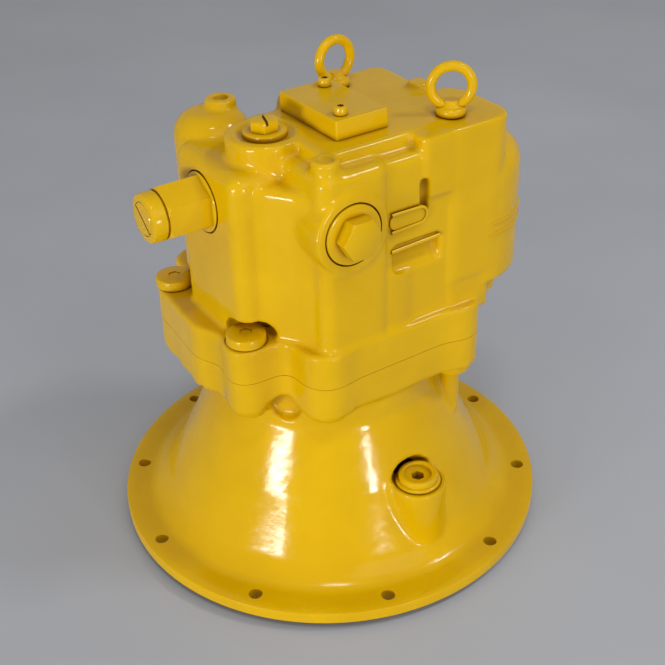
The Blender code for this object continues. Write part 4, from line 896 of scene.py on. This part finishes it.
def relief_cartridge(side, where):
    seat = GAP - RELIEF_SEAT
    hex_end = seat + RELIEF_HEX_LENGTH
    cap_end = hex_end + 1 + RELIEF_CAP_LENGTH
    body = turned_solid([(RELIEF_THREAD_R, -38), (RELIEF_THREAD_R, seat), (RELIEF_COLLAR_R - 0.6, seat),
                         (RELIEF_COLLAR_R, seat + 0.6), (RELIEF_COLLAR_R, seat + 1.4),
                         (RELIEF_COLLAR_R - 0.6, seat + 2), (RELIEF_CAP_R - 1, seat + 3),
                         (RELIEF_CAP_R - 1, hex_end + 1), (RELIEF_CAP_R - 0.4, hex_end + 1.1),
                         (RELIEF_CAP_R, hex_end + 1.6), (RELIEF_CAP_R, cap_end - 2),
                         (RELIEF_CAP_R - 0.6, cap_end - 0.7), (RELIEF_CAP_R - 2, cap_end)], 96)
    body = join(body, hex_head(RELIEF_HEX_R, seat + 1, hex_end))
    recess = 8
    bore = turned_solid([(5, -39), (5, -34), (9, -34), (9, cap_end - recess),
                         (RELIEF_SCREW_R + GAP, cap_end - recess), (RELIEF_SCREW_R + GAP, cap_end + 1)])
    place = at(-side * CASING_LEFT_X, RELIEF_Y[side], RELIEF_Z) @ Matrix.Rotation(side * pi / 2, 4, "Y")
    name = "relief_body_" + where
    dress(name + "_fine", placed(cut(body, bore), place), "yellow_paint", "housing", name)
    head_z = cap_end - recess + GAP
    screw = turned_solid([(8.4, head_z - 14), (8.4, head_z), (RELIEF_SCREW_R, head_z),
                          (RELIEF_SCREW_R, cap_end - 0.2), (RELIEF_SCREW_R - 0.7, cap_end + 0.5)])
    screw = cut(screw, slot_cutter(RELIEF_SCREW_R + 1, 1.6, cap_end - 2, cap_end + 2, 50))
    name = "relief_screw_" + where
    dress(name + "_fine", placed(screw, place), "yellow_paint", name, name)


def brake_spring():
    """Disc spring over the brake piston."""
    inner, outer = BRAKE_SPRING_R
    rise = BRAKE_SPRING_H - BRAKE_SPRING_T
    disc = lathe([(inner, rise), (outer - 0.4, 0.2), (outer, 0.5), (outer, BRAKE_SPRING_T - 0.1),
                  (inner + 0.4, BRAKE_SPRING_H), (inner, BRAKE_SPRING_H - 0.3)], WIDE_ROUND)
    top = PORT_FACE_Z - GAP
    place = at(z=top - BRAKE_SPRING_H)
    piece = dress("brake_disc_spring", placed(disc, place), "dark_steel", "housing", "brake_spring")
    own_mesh(piece)


def relief_spring(side, where):
    """Coil between poppet and screw."""
    name = "relief_spring_" + where
    low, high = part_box(name)
    length = (high.x - low.x) / MM
    outer = max(abs(low.x), abs(high.x))
    wire = coil(RELIEF_SPRING_R, RELIEF_WIRE_R, 0, length, RELIEF_TURNS)
    turn = Matrix.Rotation(side * pi / 2, 4, "Y")
    place = at(side * (outer / MM - length), RELIEF_Y[side], RELIEF_Z) @ turn
    piece = dress("relief_coil_" + where, placed(wire, place), "dark_steel", "housing", name)
    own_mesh(piece)


def remaining_nodes():
    """The CAD nodes that still show get the finish of their slot."""
    slots = {part["node"]: part["material_slot"] for part in frame["record"]["subparts"]}
    for name, node in frame["nodes"].items():
        if not node.hide_render:
            node.data.materials.clear()
            node.data.materials.append(FINISHES[slots[name]])


# Floor, light and camera

def floor():
    bm = bmesh.new()
    bmesh.ops.create_grid(bm, x_segments=1, y_segments=1, size=6)
    plane = loose_object(bm, "floor")
    finish = Finish("floor", Roughness=0.6)
    finish.colour(finish.ramp(finish.noise(3, 3), (0.3, (0.45, 0.48, 0.55)), (0.7, (0.49, 0.52, 0.59))))
    plane.data.materials.append(finish.material)


def panel(name, azimuth, elevation, distance, size, radiance, tilt=0.0):
    """Soft box that faces the part; tilt turns it about its own axis, in degrees."""
    data = bpy.data.lights.new(name, "AREA")
    data.shape = "RECTANGLE"
    data.size, data.size_y = size
    data.energy = radiance * pi * size[0] * size[1]
    lamp = bpy.data.objects.new(name, data)
    azimuth, elevation = radians(azimuth), radians(elevation)
    out = Vector((cos(azimuth) * cos(elevation), sin(azimuth) * cos(elevation), sin(elevation)))
    place = Vector((0, 0, 0.1)) + distance * out
    turn = out.to_track_quat("Z", "Y").to_matrix().to_4x4() @ Matrix.Rotation(radians(tilt), 4, "Z")
    lamp.matrix_world = Matrix.Translation(place) @ turn
    bpy.context.scene.collection.objects.link(lamp)


def studio():
    world = bpy.data.worlds.new("studio")
    world.use_nodes = True
    background = world.node_tree.nodes["Background"]
    background.inputs["Color"].default_value = (1.0, 0.97, 0.91, 1)
    background.inputs["Strength"].default_value = 0.39
    bpy.context.scene.world = world
    panel("key", -85, 38, 2.5, (1.6, 1.4), 0.9)
    panel("left_window", -162, 3.5, 2.5, (0.8, 0.2), 55, tilt=26)
    panel("front_window", -91, 2.6, 2.5, (0.2, 0.24), 70)
    panel("ceiling_lamp", -36, 52, 2.3, (0.35, 0.18), 40)
    panel("ceiling_lamp_2", -120, 66, 2.3, (0.3, 0.16), 40)


def camera():
    data = bpy.data.cameras.new("camera")
    data.sensor_width = 36
    data.lens = 60.09
    eye = bpy.data.objects.new("camera", data)
    azimuth, elevation, roll = radians(-33.05), radians(32.76), radians(-1.667)
    eye.matrix_world = (at(-417.2, -652.4, 653.6) @ Matrix.Rotation(azimuth, 4, "Z")
                        @ Matrix.Rotation(pi / 2 - elevation, 4, "X") @ Matrix.Rotation(roll, 4, "Z"))
    bpy.context.scene.collection.objects.link(eye)
    bpy.context.scene.camera = eye


bpy.context.scene.view_settings.view_transform = "Standard"
camera()
floor()
studio()
bell_housing()
valve_casing()
casing_bolts()
eyebolts()
top_cover()
plugs()
for side, where in ((-1, "front"), (1, "rear")):
    check_plug(side, where)
for side, where in ((-1, "left"), (1, "right")):
    relief_cartridge(side, where)
brake_spring()
for side, where in ((-1, "left"), (1, "right")):
    relief_spring(side, where)
remaining_nodes()
